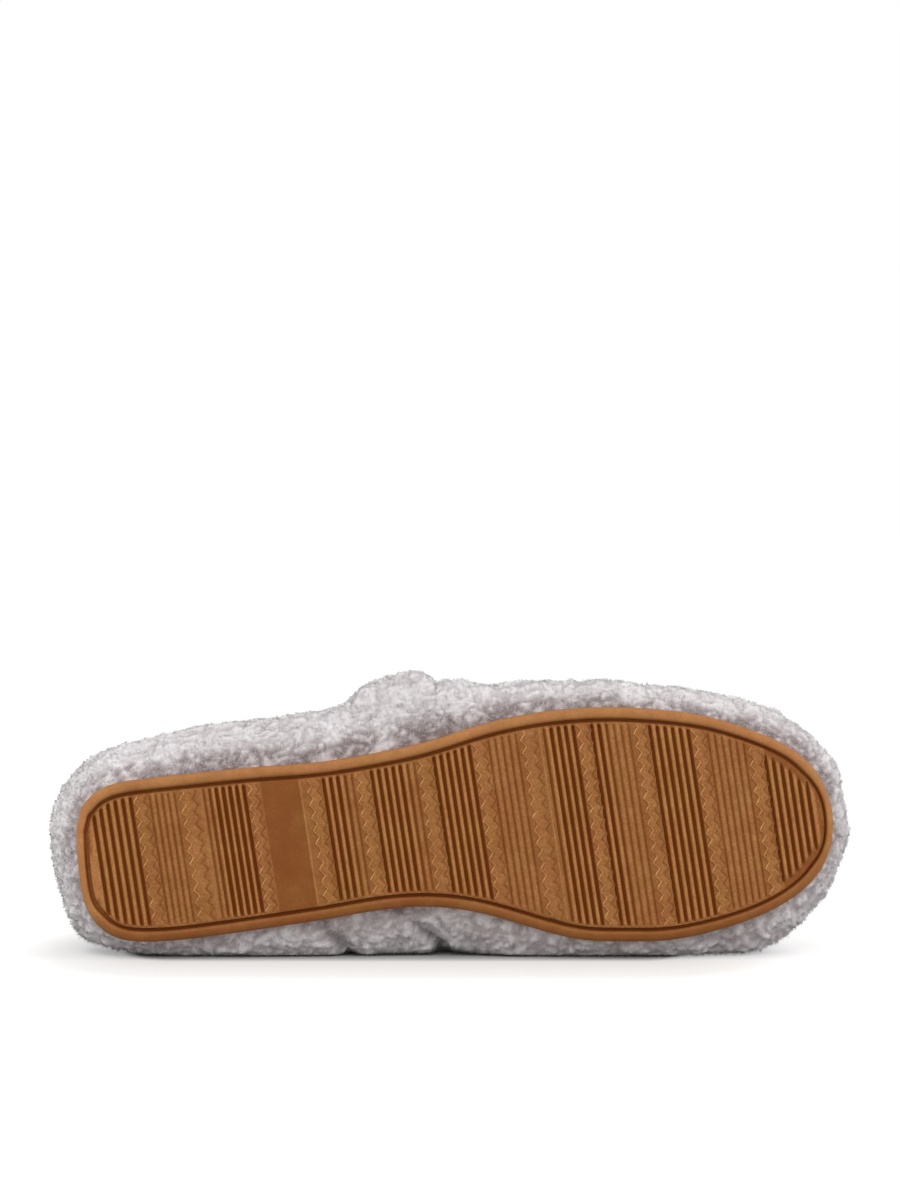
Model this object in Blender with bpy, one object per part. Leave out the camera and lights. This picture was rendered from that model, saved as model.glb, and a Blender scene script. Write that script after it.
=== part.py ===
"""Mary jane slipper for the right foot, lying on its inner side with the sole towards -Y.

Every piece is modelled in the shoe's own axes, in millimetres: x from heel to toe, y towards the inner
side of the foot, z up from the tread. An empty then lays the whole shoe on its inner side.
"""

import math
from collections import namedtuple

import bmesh
import bpy
import numpy as np
from mathutils import Matrix

MM = 0.001
INNER, OUTER = 1.0, -1.0

# Driving sizes of the shoe, in millimetres
SOLE_LENGTH = 245.0
SOLE_THICK = 6.0
WALL = 5.0
GAP = 0.3
INSOLE_THICK = 4.5
STRAP_THICK = 6.0
TOE_SPRING = 6.0
TOE_SPRING_START = 178.0
HEEL_RISE = 1.2
HEEL_RISE_LENGTH = 14.0

# The upper: where it meets the sole, where the vamp closes, and the fullness of its sections
FEATHER_INSET = 0.6
THROAT_STATION = 165.0
THROAT_ROUND_START = 112.0
SPINE_SHARE = 0.84
SIDE_FULLNESS = 2.3
CROWN_FULLNESS = 2.1
COLLAR_ROUND = 1.6
NUB_HEIGHT = 0.7
NUB_SPACING = 21.0

# The strap's two edges, as stations on each side of the foot, its clearance to the upper's facets, how far
# its ends stop short of the sole as a share of its length, and how far beside it the nubs are flattened
STRAP_WIDTH = 30.0
STRAP_INNER_EDGES = (84.0, 84.0 + STRAP_WIDTH)
STRAP_OUTER_EDGES = (94.0, 94.0 + STRAP_WIDTH)
STRAP_EDGE_ROUND = 2.0
STRAP_SEAT = 0.45
STRAP_END_SHARE = 0.07
STRAP_FADE = 8.0

# The insole's clearance to the upper's wall, and the rounding of its top edge
INSOLE_CLEARANCE = 0.4
INSOLE_EDGE_ROUND = 1.2

# How much of the inner side is pressed flat by the floor, past the first touch of the sole's edge
REST_FLAT = 0.4

# How finely the forms are divided
STATION_STEPS = 52
THROAT_EXTRA_STATIONS = (-7.0, -3.5, -1.2, 0.0)
LOWER_ROWS, UPPER_ROWS = 4, 8
STRAP_COLUMNS, STRAP_ROWS = 7, 15

# One row for each section of the last. inner and outer are the sole's half-widths, bulge is how far the
# upper stands out past the sole, lean is how far it comes back in by the height of the crown, and widest,
# crown and collar are heights above the tread.
Section = namedtuple("Section", "station inner outer bulge_in bulge_out lean widest crown collar")
SECTIONS = (
    Section(0.0, -2.9, 2.9, 10.2, 10.2, 8.0, 26.0, 92.0, 58.0),
    Section(1.1, 15.1, 14.0, 7.6, 8.8, 10.5, 26.0, 92.0, 57.8),
    Section(4.0, 21.1, 18.0, 6.2, 8.6, 14.0, 26.0, 92.0, 57.4),
    Section(10.0, 26.7, 22.0, 6.0, 9.4, 14.0, 26.0, 92.0, 56.4),
    Section(20.0, 29.0, 23.4, 6.4, 10.6, 9.0, 25.5, 92.0, 54.2),
    Section(40.0, 28.4, 24.6, 8.0, 12.0, 5.0, 25.0, 91.0, 50.0),
    Section(60.0, 26.8, 25.4, 7.4, 13.4, 3.0, 24.0, 85.0, 47.0),
    Section(80.0, 25.0, 25.8, 5.2, 14.2, 2.0, 24.0, 75.0, 45.5),
    Section(100.0, 22.9, 27.9, 5.4, 15.4, 2.0, 23.5, 67.0, 45.0),
    Section(115.0, 23.2, 30.3, 5.8, 15.6, 1.5, 23.0, 62.5, 45.0),
    Section(130.0, 26.3, 34.2, 6.4, 13.0, 1.0, 22.0, 59.0, 45.5),
    Section(145.0, 31.6, 36.9, 6.6, 9.4, 0.5, 21.0, 55.5, 46.0),
    Section(160.0, 36.4, 38.1, 6.4, 7.6, 0.0, 20.0, 52.5, 46.5),
    Section(175.0, 38.3, 37.9, 5.8, 7.2, 0.0, 19.5, 50.0, 46.5),
    Section(190.0, 38.4, 36.2, 4.6, 6.8, 0.0, 19.0, 47.5, 46.0),
    Section(205.0, 36.2, 33.2, 4.4, 6.6, 0.0, 18.5, 45.0, 45.0),
    Section(220.0, 32.2, 27.6, 5.6, 6.8, 0.0, 18.0, 42.0, 42.0),
    Section(232.0, 26.4, 21.3, 6.8, 7.0, 0.0, 17.5, 39.5, 39.5),
    Section(240.5, 18.6, 12.7, 6.0, 5.8, 0.0, 17.0, 37.5, 37.5),
    Section(245.0, 3.4, -3.4, 5.0, 5.0, 0.0, 17.0, 36.5, 36.5),
)

# The sole's edge from its top to the floor of the tread recess, as inset from the outline and height
EdgeStep = namedtuple("EdgeStep", "inset height")
SOLE_EDGE = (
    EdgeStep(0.5, SOLE_THICK),
    EdgeStep(0.0, 5.4),
    EdgeStep(0.0, 1.9),
    EdgeStep(0.4, 0.8),
    EdgeStep(1.2, 0.0),
    EdgeStep(2.2, 0.0),
    EdgeStep(3.0, 0.6),
    EdgeStep(3.3, 1.6),
)
TREAD_INSET = 4.3
TREAD_FACE = 0.2
TREAD_ROOT = 2.4
RIB_WIDTH = 1.45
GROOVE_WIDTH = 0.95
TREAD_CUT = 4.0
RIB_SKEW = 0.0925

# The tread's groups of deep ribs, from heel to toe: centre of the first rib, spacing and number of ribs
RibGroup = namedtuple("RibGroup", "first pitch count")
RIB_GROUPS = (
    RibGroup(6.2, 2.52, 6),
    RibGroup(46.9, 2.22, 5),
    RibGroup(83.95, 2.37, 3),
    RibGroup(99.75, 2.37, 5),
    RibGroup(120.4, 2.37, 5),
    RibGroup(157.0, 2.37, 4),
    RibGroup(172.5, 2.37, 2),
    RibGroup(191.05, 2.43, 5),
    RibGroup(227.2, 2.43, 6),
)


# Reading the table of sections

def turn_of(station):
    """The angle that stands for a station, so that an outline is round at heel and toe."""
    share = min(1.0, max(0.0, station / SOLE_LENGTH))
    return math.acos(1.0 - 2.0 * share)


def station_of(turn):
    return SOLE_LENGTH * (1.0 - math.cos(turn)) / 2.0


SECTION_TURNS = np.array([turn_of(row.station) for row in SECTIONS])
COLUMN_VALUES = {name: np.array([getattr(row, name) for row in SECTIONS]) for name in Section._fields}
COLUMN_SLOPES = {name: np.gradient(values, SECTION_TURNS) for name, values in COLUMN_VALUES.items()}


def read_column(name, turn):
    """A column of the table at any angle, on a smooth curve through its rows."""
    row = int(np.clip(np.searchsorted(SECTION_TURNS, turn) - 1, 0, len(SECTIONS) - 2))
    values, slopes = COLUMN_VALUES[name], COLUMN_SLOPES[name]
    span = SECTION_TURNS[row + 1] - SECTION_TURNS[row]
    t = (turn - SECTION_TURNS[row]) / span
    start = (1 + 2 * t) * (1 - t) ** 2 * values[row] + t * (1 - t) ** 2 * span * slopes[row]
    end = t * t * (3 - 2 * t) * values[row + 1] + t * t * (t - 1) * span * slopes[row + 1]
    return start + end


# The sole's outline, seen from above

def outline_point(turn, side):
    half_width = read_column("inner" if side == INNER else "outer", turn)
    return np.array([station_of(turn), side * half_width])


def outline_normal(turn, side):
    """Unit vector out of the outline, level with the floor."""
    step = 0.004
    before = outline_point(max(0.0, turn - step), side)
    after = outline_point(min(math.pi, turn + step), side)
    along = (after - before) / np.linalg.norm(after - before)
    if turn == 0.0:
        return np.array([-1.0, 0.0])
    if turn == math.pi:
        return np.array([1.0, 0.0])
    return side * np.array([-along[1], along[0]])


def station_turns():
    """The angles of all columns from heel to toe, closer together round the throat."""
    turns = [math.pi * step / STATION_STEPS for step in range(STATION_STEPS + 1)]
    extra = [turn_of(THROAT_STATION + shift) for shift in THROAT_EXTRA_STATIONS]
    clear = 0.25 * math.pi / STATION_STEPS
    kept = [turn for turn in turns if min(abs(turn - other) for other in extra) > clear]
    return sorted(kept + extra)


TURNS = station_turns()


def loop_of_columns():
    """Each column of the closed outline as (angle, side): heel, inner side, toe, outer side."""
    inner = [(turn, INNER) for turn in TURNS]
    outer = [(turn, OUTER) for turn in reversed(TURNS[1:-1])]
    return inner + outer


COLUMNS = loop_of_columns()


def rise(station):
    """How far the sole is lifted off the floor by its toe spring and by the rounding of the heel."""
    toe = max(0.0, (station - TOE_SPRING_START) / (SOLE_LENGTH - TOE_SPRING_START))
    heel = max(0.0, (HEEL_RISE_LENGTH - station) / HEEL_RISE_LENGTH)
    return TOE_SPRING * toe ** 2 + HEEL_RISE * heel ** 2


# The plane of the floor beside the inner side of the shoe

def resting_line():
    """Slope and height of the straight line that touches the sole's inner edge at heel and at ball."""
    edge = np.array([outline_point(turn, INNER) for turn in TURNS])
    heel, ball = np.array_split(edge, 2)
    low, high = -0.2, 0.4
    for _ in range(60):
        slope = (low + high) / 2
        heel_reach = np.max(heel[:, 1] - slope * heel[:, 0])
        ball_reach = np.max(ball[:, 1] - slope * ball[:, 0])
        if ball_reach > heel_reach:
            low = slope
        else:
            high = slope
    return slope, heel_reach - REST_FLAT


REST_SLOPE, REST_HEIGHT = resting_line()


def pressed(point, clearance=0.0):
    """The point, moved back to the floor beside the inner side if it lies past it."""
    x, y, z = point
    return np.array([x, min(y, REST_HEIGHT + REST_SLOPE * x - clearance), z])


# The form of the last: one section of the upper at a time

def upper_point(turn, side, share, grow=0.0):
    """A point of the upper's outer form, from the feather edge at share 0 to the crown at share 1.

    grow moves the form outwards, and a negative value gives the inside of the wall.
    """
    base, normal = outline_point(turn, side), outline_normal(turn, side)
    bulge = read_column("bulge_in" if side == INNER else "bulge_out", turn) + grow
    inset = FEATHER_INSET - grow
    feather, widest = SOLE_THICK + GAP, read_column("widest", turn)
    crown = read_column("crown", turn) + grow
    lower_share = LOWER_ROWS / (LOWER_ROWS + UPPER_ROWS)
    if share <= lower_share:
        angle = math.pi / 2 * share / lower_share
        out = -inset + (bulge + inset) * math.sin(angle)
        level = base + normal * out
        height = feather + (widest - feather) * (1.0 - math.cos(angle))
    else:
        angle = math.pi / 2 * (share - lower_share) / (1.0 - lower_share)
        spine = spine_point(turn)
        edge = base + normal * (bulge - read_column("lean", turn) * math.sin(angle))
        level = spine + (edge - spine) * math.cos(angle) ** (2.0 / SIDE_FULLNESS)
        height = widest + (crown - widest) * math.sin(angle) ** (2.0 / CROWN_FULLNESS)
    return np.array([level[0], level[1], height + rise(base[0])])


def spine_point(turn):
    """Where the two sides of a section meet on top of the foot, seen from above."""
    middle = SOLE_LENGTH / 2
    inner, outer = outline_point(turn, INNER), outline_point(turn, OUTER)
    return np.array([middle + (inner[0] - middle) * SPINE_SHARE, (inner[1] + outer[1]) / 2])


def collar_share(turn):
    """How far up its section the upper goes before the collar or the throat cuts it."""
    station = station_of(turn)
    if station >= THROAT_STATION - 1e-6:
        return 1.0
    widest, crown = read_column("widest", turn), read_column("crown", turn)
    height = (read_column("collar", turn) - widest) / (crown - widest)
    angle = math.asin(min(1.0, height ** (CROWN_FULLNESS / 2.0)))
    near = max(0.0, (station - THROAT_ROUND_START) / (THROAT_STATION - THROAT_ROUND_START))
    angle += (math.pi / 2 - angle) * (1.0 - math.sqrt(1.0 - near ** 2))
    lower_share = LOWER_ROWS / (LOWER_ROWS + UPPER_ROWS)
    return lower_share + (1.0 - lower_share) * angle / (math.pi / 2)


def under_strap(station, side):
    """1 where the strap lies on the upper, fading to 0 beside it."""
    back, front = STRAP_INNER_EDGES if side == INNER else STRAP_OUTER_EDGES
    past = max(back - station, station - front) - STRAP_FADE
    return 1.0 - min(1.0, max(0.0, past / STRAP_FADE))


def nub(point, flat):
    """Height of the pile's nubs at a point of the outer form: even lumps, and none where flat is 1."""
    x, y, z = point * 2.0 * math.pi / NUB_SPACING
    wave = math.sin(x) * math.cos(y) + math.sin(y) * math.cos(z) + math.sin(z) * math.cos(x)
    return NUB_HEIGHT * wave * (1.0 - flat)


# Small helpers that make Blender objects

def material(name, colour, roughness):
    made = bpy.data.materials.new(name)
    made.use_nodes = True
    shader = made.node_tree.nodes["Principled BSDF"]
    shader.inputs["Base Color"].default_value = (*colour, 1.0)
    shader.inputs["Roughness"].default_value = roughness
    shader.inputs["Metallic"].default_value = 0.0
    return made


def mesh_object(name, points, faces, finish, smooth_angle=None):
    """A closed mesh object from points in millimetres, with its faces turned outwards."""
    mesh = bpy.data.meshes.new(name)
    mesh.from_pydata([tuple(np.asarray(point) * MM) for point in points], [], faces)
    form = bmesh.new()
    form.from_mesh(mesh)
    bmesh.ops.remove_doubles(form, verts=form.verts, dist=0.005 * MM)
    bmesh.ops.recalc_face_normals(form, faces=form.faces)
    form.to_mesh(mesh)
    form.free()
    mesh.materials.append(finish)
    if smooth_angle is not None:
        mesh.shade_smooth()
        mesh.set_sharp_from_angle(angle=math.radians(smooth_angle))
    made = bpy.data.objects.new(name, mesh)
    bpy.context.scene.collection.objects.link(made)
    return made


def ring_faces(first, second, count):
    """Quads between two rings of points that start at these indices."""
    following = [(step + 1) % count for step in range(count)]
    return [
        (first + step, first + after, second + after, second + step)
        for step, after in enumerate(following)
    ]


def lid_faces(first):
    """Quads that close a ring of outline columns, each between the inner and the outer side."""
    count, toe = len(COLUMNS), len(TURNS) - 1
    faces = []
    for step in range(toe):
        near, far = (count - step) % count, count - step - 1
        corners = [first + step, first + step + 1, first + far, first + near]
        faces.append(tuple(dict.fromkeys(corners)))
    return faces


# The outsole: one moulding with its rounded rim, recess, ribs and plain fields

def sole_ring(inset, height):
    ring = []
    for turn, side in COLUMNS:
        x, y = outline_point(turn, side) - outline_normal(turn, side) * inset
        ring.append(pressed((x, y, height + rise(station_of(turn)))))
    return ring


def tread_crossing(edge, start, side):
    """Where a line across the tread, skewed as the ribs are, meets the edge of the tread field."""
    found = []
    for first, second in zip(edge, edge[1:] + edge[:1]):
        before = first[0] - RIB_SKEW * first[1] - start
        after = second[0] - RIB_SKEW * second[1] - start
        if before * after <= 0.0 and before != after:
            found.append(first + (second - first) * before / (before - after))
    reach = [side * point[1] for point in found]
    return found[int(np.argmax(reach))]


def tread_block(edge, back, front):
    """Points and faces of one block of the tread, from the skewed line at back to the one at front."""
    cuts = max(2, int((front - back) / TREAD_CUT) + 1)
    starts = np.linspace(back, front, cuts)
    inner = [tread_crossing(edge, start, INNER) for start in starts]
    outer = [tread_crossing(edge, start, OUTER) for start in starts]
    outline = inner + outer[::-1]
    count = len(outline)
    points = []
    for height in (TREAD_FACE, TREAD_ROOT):
        points += [(x, y, height + rise(x)) for x, y in outline]
    faces = ring_faces(0, count, count)
    for first in (0, count):
        for step in range(cuts - 1):
            far = first + count - 1 - step
            faces.append((first + step, first + step + 1, far - 1, far))
    return points, faces


def tread_spans():
    """Start and end of every rib, and of the plain fields that fill the room between rib groups."""
    spans, field_start = [], None
    for group in RIB_GROUPS:
        first_edge = group.first - RIB_WIDTH / 2
        if field_start is not None:
            spans.append((field_start, first_edge - GROOVE_WIDTH))
        for step in range(group.count):
            centre = group.first + step * group.pitch
            spans.append((centre - RIB_WIDTH / 2, centre + RIB_WIDTH / 2))
        field_start = spans[-1][1] + GROOVE_WIDTH
    return spans


def make_tread_blocks(finish):
    points, faces = [], []
    edge = [point[:2] for point in sole_ring(TREAD_INSET, TREAD_FACE)]
    for back, front in tread_spans():
        block_points, block_faces = tread_block(edge, back, front)
        faces += [tuple(corner + len(points) for corner in face) for face in block_faces]
        points += block_points
    blocks = mesh_object("tread_blocks", points, faces, finish)
    blocks.hide_render = True
    blocks.display_type = "WIRE"
    return blocks


def make_outsole(finish):
    points, faces = [], []
    for step in SOLE_EDGE:
        points += sole_ring(step.inset, step.height)
    count = len(COLUMNS)
    for level in range(len(SOLE_EDGE) - 1):
        faces += ring_faces(level * count, (level + 1) * count, count)
    faces += lid_faces(0) + lid_faces((len(SOLE_EDGE) - 1) * count)
    outsole = mesh_object("outsole", points, faces, finish, smooth_angle=35)
    union = outsole.modifiers.new("tread", "BOOLEAN")
    union.operation = "UNION"
    union.object = make_tread_blocks(finish)
    return outsole


# The upper: one hollow wall, open at the collar and underneath

def upper_rows(grow):
    """Rows of points round the upper, from the feather edge up to the collar or the crown."""
    steps = LOWER_ROWS + UPPER_ROWS
    rows = []
    for row in range(steps + 1):
        ring = []
        for turn, side in COLUMNS:
            share = collar_share(turn) * row / steps
            point = upper_point(turn, side, share, grow)
            if grow == 0.0 and 0 < row < steps:
                flat = under_strap(station_of(turn), side)
                point = upper_point(turn, side, share, nub(point, flat))
            ring.append(pressed(point, max(0.0, -grow)))
        rows.append(ring)
    return rows


def collar_ring(outside, inside, below):
    """The rounded edge of the collar, a little above the middle of the wall's end."""
    ring = []
    for outer, inner, lower in zip(outside, inside, below):
        upwards = (outer - lower) / np.linalg.norm(outer - lower)
        ring.append(pressed((outer + inner) / 2 + upwards * COLLAR_ROUND))
    return ring


def make_upper(finish):
    outside, inside = upper_rows(0.0), upper_rows(-WALL)
    count, rows = len(COLUMNS), len(outside)
    points = [point for ring in outside + inside for point in ring]
    faces = []
    for wall in range(2):
        for row in range(rows - 1):
            first = (wall * rows + row) * count
            faces += ring_faces(first, first + count, count)
    faces += ring_faces(0, rows * count, count)

    # The collar's edge goes round the open columns only: past the throat the two sides meet on top
    edge = len(points)
    points += collar_ring(outside[-1], inside[-1], outside[-2])
    throat = min(column for column, (turn, _) in enumerate(COLUMNS) if collar_share(turn) == 1.0)
    for column in (throat, count - throat):
        points[edge + column] = (outside[-1][column] + inside[-1][column]) / 2 + np.array([-COLLAR_ROUND, 0, 0])
    open_columns = [step % count for step in range(count - throat, count + throat + 1)]
    outer_top, inner_top = (rows - 1) * count, (2 * rows - 1) * count
    for here, after in zip(open_columns, open_columns[1:]):
        faces.append((outer_top + here, outer_top + after, edge + after, edge + here))
        faces.append((edge + here, edge + after, inner_top + after, inner_top + here))
    used = sorted({corner for face in faces for corner in face})
    place = {old: new for new, old in enumerate(used)}
    faces = [tuple(place[corner] for corner in face) for face in faces]
    return mesh_object("upper", [points[old] for old in used], faces, finish, smooth_angle=60)


# The strap: a padded band from the sole's edge over the instep to the other edge

def strap_point(across, along, grow):
    """A point of the strap. across runs from its back to its front edge, along from inner to outer end."""
    inner = STRAP_INNER_EDGES[0] + (STRAP_INNER_EDGES[1] - STRAP_INNER_EDGES[0]) * across
    outer = STRAP_OUTER_EDGES[0] + (STRAP_OUTER_EDGES[1] - STRAP_OUTER_EDGES[0]) * across
    turn = turn_of(inner + (outer - inner) * along)
    side = INNER if along <= 0.5 else OUTER
    return upper_point(turn, side, 1.0 - abs(2.0 * along - 1.0), grow)


def make_strap(finish):
    """The band's top and underside, and a rounded edge between them on all four sides."""
    columns, rows = STRAP_COLUMNS, 2 * STRAP_ROWS + 1
    points, index = [], {}
    for face in ("under", "top"):
        for row in range(rows):
            along = STRAP_END_SHARE / 2 + (1.0 - STRAP_END_SHARE) * row / (rows - 1)
            for column in range(columns):
                across = column / (columns - 1)
                rim = row in (0, rows - 1) or column in (0, columns - 1)
                swell = STRAP_THICK - STRAP_EDGE_ROUND if rim else STRAP_THICK
                point = strap_point(across, along, STRAP_SEAT)
                if face == "top":
                    lift = 0.0 if rim else nub(point, 0.0)
                    point = strap_point(across, along, STRAP_SEAT + swell + lift)
                index[face, row, column] = len(points)
                points.append(pressed(point))
    faces = []
    for face in ("under", "top"):
        for row in range(rows - 1):
            for column in range(columns - 1):
                corners = ((row, column), (row, column + 1), (row + 1, column + 1), (row + 1, column))
                faces.append(tuple(index[face, r, c] for r, c in corners))
    border = [(0, c) for c in range(columns)]
    border += [(r, columns - 1) for r in range(1, rows)]
    border += [(rows - 1, c) for c in range(columns - 2, -1, -1)]
    border += [(r, 0) for r in range(rows - 2, 0, -1)]
    for here, after in zip(border, border[1:] + border[:1]):
        faces.append((index["under", *here], index["under", *after], index["top", *after], index["top", *here]))
    return mesh_object("strap", points, faces, finish, smooth_angle=60)


# The insole: a soft footbed that lies on the outsole inside the upper

def make_insole(finish):
    inset = FEATHER_INSET + WALL + INSOLE_CLEARANCE
    base = SOLE_THICK + GAP
    profile = (
        EdgeStep(inset, base),
        EdgeStep(inset, base + INSOLE_THICK - INSOLE_EDGE_ROUND),
        EdgeStep(inset + INSOLE_EDGE_ROUND, base + INSOLE_THICK),
    )
    points, faces = [], []
    for step in profile:
        points += sole_ring(step.inset, step.height)
    count = len(COLUMNS)
    for level in range(len(profile) - 1):
        faces += ring_faces(level * count, (level + 1) * count, count)
    faces += lid_faces(0) + lid_faces((len(profile) - 1) * count)
    return mesh_object("insole", points, faces, finish, smooth_angle=40)


# Laying the shoe down

def lay_on_inner_side(pieces):
    """Parents the pieces to an empty that turns the inner side down and centres the shoe on the origin."""
    tilt = math.atan(REST_SLOPE)
    laid = bpy.data.objects.new("laid_on_side", None)
    bpy.context.scene.collection.objects.link(laid)
    turn = Matrix.Rotation(-tilt, 4, "Y") @ Matrix.Rotation(-math.pi / 2, 4, "X")
    floor = REST_HEIGHT * math.cos(tilt) * MM
    corners = [turn @ vertex.co for piece in pieces for vertex in piece.data.vertices]
    middle_x = (min(c.x for c in corners) + max(c.x for c in corners)) / 2
    middle_y = (min(c.y for c in corners) + max(c.y for c in corners)) / 2
    laid.matrix_world = Matrix.Translation((-middle_x, -middle_y, floor)) @ turn
    for piece in bpy.context.scene.collection.objects:
        if piece is not laid:
            piece.parent = laid


def main():
    for old in list(bpy.data.objects):
        bpy.data.objects.remove(old)
    rubber = material("tan_moulded_rubber", (0.36, 0.17, 0.065), 0.55)
    sherpa = material("grey_sherpa_pile", (0.62, 0.60, 0.61), 0.95)
    fleece = material("grey_fleece_footbed", (0.55, 0.53, 0.54), 0.95)
    pieces = [make_outsole(rubber), make_upper(sherpa), make_strap(sherpa), make_insole(fleece)]
    lay_on_inner_side(pieces)


main()
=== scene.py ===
# %% [markdown]
# # A sherpa house slipper with an instep strap
#
# The slipper lies on its inner side and turns its tread to us, as in the photograph. Curly grey sherpa
# covers the upper and the strap, and a tan rubber sole is moulded with ribs and zigzag strips.
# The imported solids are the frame: every piece below is made over one of them, in the same place.

# %% Load the frame
import math
from collections import namedtuple

import bpy
import numpy as np
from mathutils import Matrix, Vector, noise
from mathutils.bvhtree import BVHTree


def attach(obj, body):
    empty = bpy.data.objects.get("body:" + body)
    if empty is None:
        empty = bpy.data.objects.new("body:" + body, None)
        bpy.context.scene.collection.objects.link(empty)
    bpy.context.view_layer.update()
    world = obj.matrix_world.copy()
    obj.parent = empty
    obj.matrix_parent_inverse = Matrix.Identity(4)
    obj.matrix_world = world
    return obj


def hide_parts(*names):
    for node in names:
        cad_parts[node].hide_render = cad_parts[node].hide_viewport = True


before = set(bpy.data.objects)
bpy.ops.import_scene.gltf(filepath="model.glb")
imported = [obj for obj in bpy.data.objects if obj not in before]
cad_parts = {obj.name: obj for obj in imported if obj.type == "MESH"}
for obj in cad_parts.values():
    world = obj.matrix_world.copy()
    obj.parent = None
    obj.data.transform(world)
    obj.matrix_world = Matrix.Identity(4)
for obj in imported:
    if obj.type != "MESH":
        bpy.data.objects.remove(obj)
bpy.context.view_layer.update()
print("frame nodes:", ", ".join(sorted(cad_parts)))

# %% [markdown]
# ## Small helpers
#
# Colours are read off as sRGB hex values, but a shader counts in linear light, so one function turns
# them. Another adds a shader node with its settings and links in one go. Operators act on all that is
# selected, so a third picks one object alone before any operator runs. The rest read and write a mesh's
# points and the numbers stored on them as arrays, which is much quicker than one vertex at a time.

# %% Helpers for colours, nodes and selection
MM = 0.001


def linear(hex_code):
    """An sRGB hex colour as linear red, green, blue and alpha."""
    channels = [int(hex_code[i:i + 2], 16) / 255 for i in (1, 3, 5)]
    return [c / 12.92 if c <= 0.04045 else ((c + 0.055) / 1.055) ** 2.4 for c in channels] + [1.0]


def add_node(tree, kind, inputs=(), links=(), **settings):
    """A shader node of that kind, with its settings, its input values and its links."""
    node = tree.nodes.new(kind)
    for name, value in settings.items():
        setattr(node, name, value)
    for name, value in dict(inputs).items():
        node.inputs[name].default_value = value
    for name, source in dict(links).items():
        tree.links.new(source, node.inputs[name])
    return node


def pick(obj):
    """Selects this object alone and makes it the active one."""
    bpy.ops.object.select_all(action="DESELECT")
    obj.select_set(True)
    bpy.context.view_layer.objects.active = obj


def apply_modifier(obj, kind, **settings):
    """Adds a modifier with these settings and applies it."""
    modifier = obj.modifiers.new(kind.title(), kind)
    for name, value in settings.items():
        setattr(modifier, name, value)
    pick(obj)
    bpy.ops.object.modifier_apply(modifier=modifier.name)


def get_points(mesh, what="co"):
    """Vertex places, or with what="normal" their normals, as an array."""
    flat = np.empty(len(mesh.vertices) * 3, np.float32)
    mesh.vertices.foreach_get(what, flat)
    return flat.reshape(-1, 3).astype(float)


def set_points(mesh, points):
    mesh.vertices.foreach_set("co", np.asarray(points, np.float32).ravel())
    mesh.update()


def set_attribute(mesh, name, values):
    """Stores one number for each vertex under this name."""
    layer = mesh.attributes.get(name) or mesh.attributes.new(name, "FLOAT", "POINT")
    layer.data.foreach_set("value", np.asarray(values, np.float32))


def get_attribute(mesh, name):
    """The number that each vertex has under this name."""
    values = np.empty(len(mesh.vertices), np.float32)
    mesh.attributes[name].data.foreach_get("value", values)
    return values


def new_material(name):
    """A new material, its node tree and its shader."""
    material = bpy.data.materials.new(name)
    material.use_nodes = True
    return material, material.node_tree, material.node_tree.nodes["Principled BSDF"]


def smoothstep(low, high, value):
    t = np.clip((np.asarray(value, float) - low) / (high - low), 0.0, 1.0)
    return t * t * (3.0 - 2.0 * t)


def unit(vectors):
    return vectors / np.maximum(np.linalg.norm(vectors, axis=-1, keepdims=True), 1e-12)


print("helpers ready")

# %% [markdown]
# ## The shoe's own axes
#
# A shoemaker measures along the sole from the heel, across it, and up from the tread. The shoe lies on
# its side, so those directions are turned in the frame. All sizes below are millimetres on the shoe's
# own axes: x from heel to toe, y towards the inner side, which is down here, and z from tread to instep.
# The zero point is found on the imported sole, so that it needs no fitting by eye.

# %% Turn between shoe millimetres and frame metres
TOE_LIFT = math.radians(3.41)   # the axis of the lying shoe climbs this much from heel to toe
AXES = np.array([
    (math.cos(TOE_LIFT), 0.0, math.sin(TOE_LIFT)),
    (math.sin(TOE_LIFT), 0.0, -math.cos(TOE_LIFT)),
    (0.0, 1.0, 0.0),
])
sole_points = get_points(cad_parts["outsole"].data) @ AXES.T
heel_tip, toe_tip = sole_points[sole_points[:, 0].argmin()], sole_points[sole_points[:, 0].argmax()]
ZERO = np.array([heel_tip[0], (heel_tip[1] + toe_tip[1]) / 2, sole_points[:, 2].min()])
SOLE_LENGTH = (toe_tip[0] - heel_tip[0]) / MM


def to_shoe(points):
    return (np.asarray(points, float) @ AXES.T - ZERO) / MM


def to_frame(points):
    return (np.asarray(points, float) * MM + ZERO) @ AXES


print(f"sole length {SOLE_LENGTH:.1f} mm, heel at {to_frame((0, 0, 0)).round(4)}")

# %% [markdown]
# ## Camera, floor and light
#
# The photograph looks almost straight at the tread, from over a metre away, with the shoe low in a tall
# picture. A long lens aimed above the shoe gives the same framing with no shift. Floor and room burn out
# to white, with one soft shadow under the shoe, partly cast and partly a painted shadow in the floor's glow.
# Only the camera sees them so bright: to the shoe they are a grey table and a dim room, or its underside
# would lose its shade. Large soft panels light it from above to the left, from over the camera and from
# beside the toe.

# %% Camera
PHOTO_HEIGHT = 1200
FOCAL_PIXELS = 3726.0            # focal length in pixels of the photograph
SENSOR = 36.0
LOOK_DOWN = math.radians(1.5)
CAMERA_DISTANCE = 1.2
AIM = Vector((0.0001, float(ZERO[2]), 0.1104))

camera_data = bpy.data.cameras.new("photo_camera")
camera_data.sensor_width = SENSOR
camera_data.lens = FOCAL_PIXELS * SENSOR / PHOTO_HEIGHT
camera = bpy.data.objects.new("photo_camera", camera_data)
bpy.context.scene.collection.objects.link(camera)
camera.location = AIM + CAMERA_DISTANCE * Vector((0.0, -math.cos(LOOK_DOWN), math.sin(LOOK_DOWN)))
camera.rotation_euler = (math.pi / 2 - LOOK_DOWN, 0.0, 0.0)
bpy.context.scene.camera = camera
print(f"lens {camera_data.lens:.1f} mm")

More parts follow.
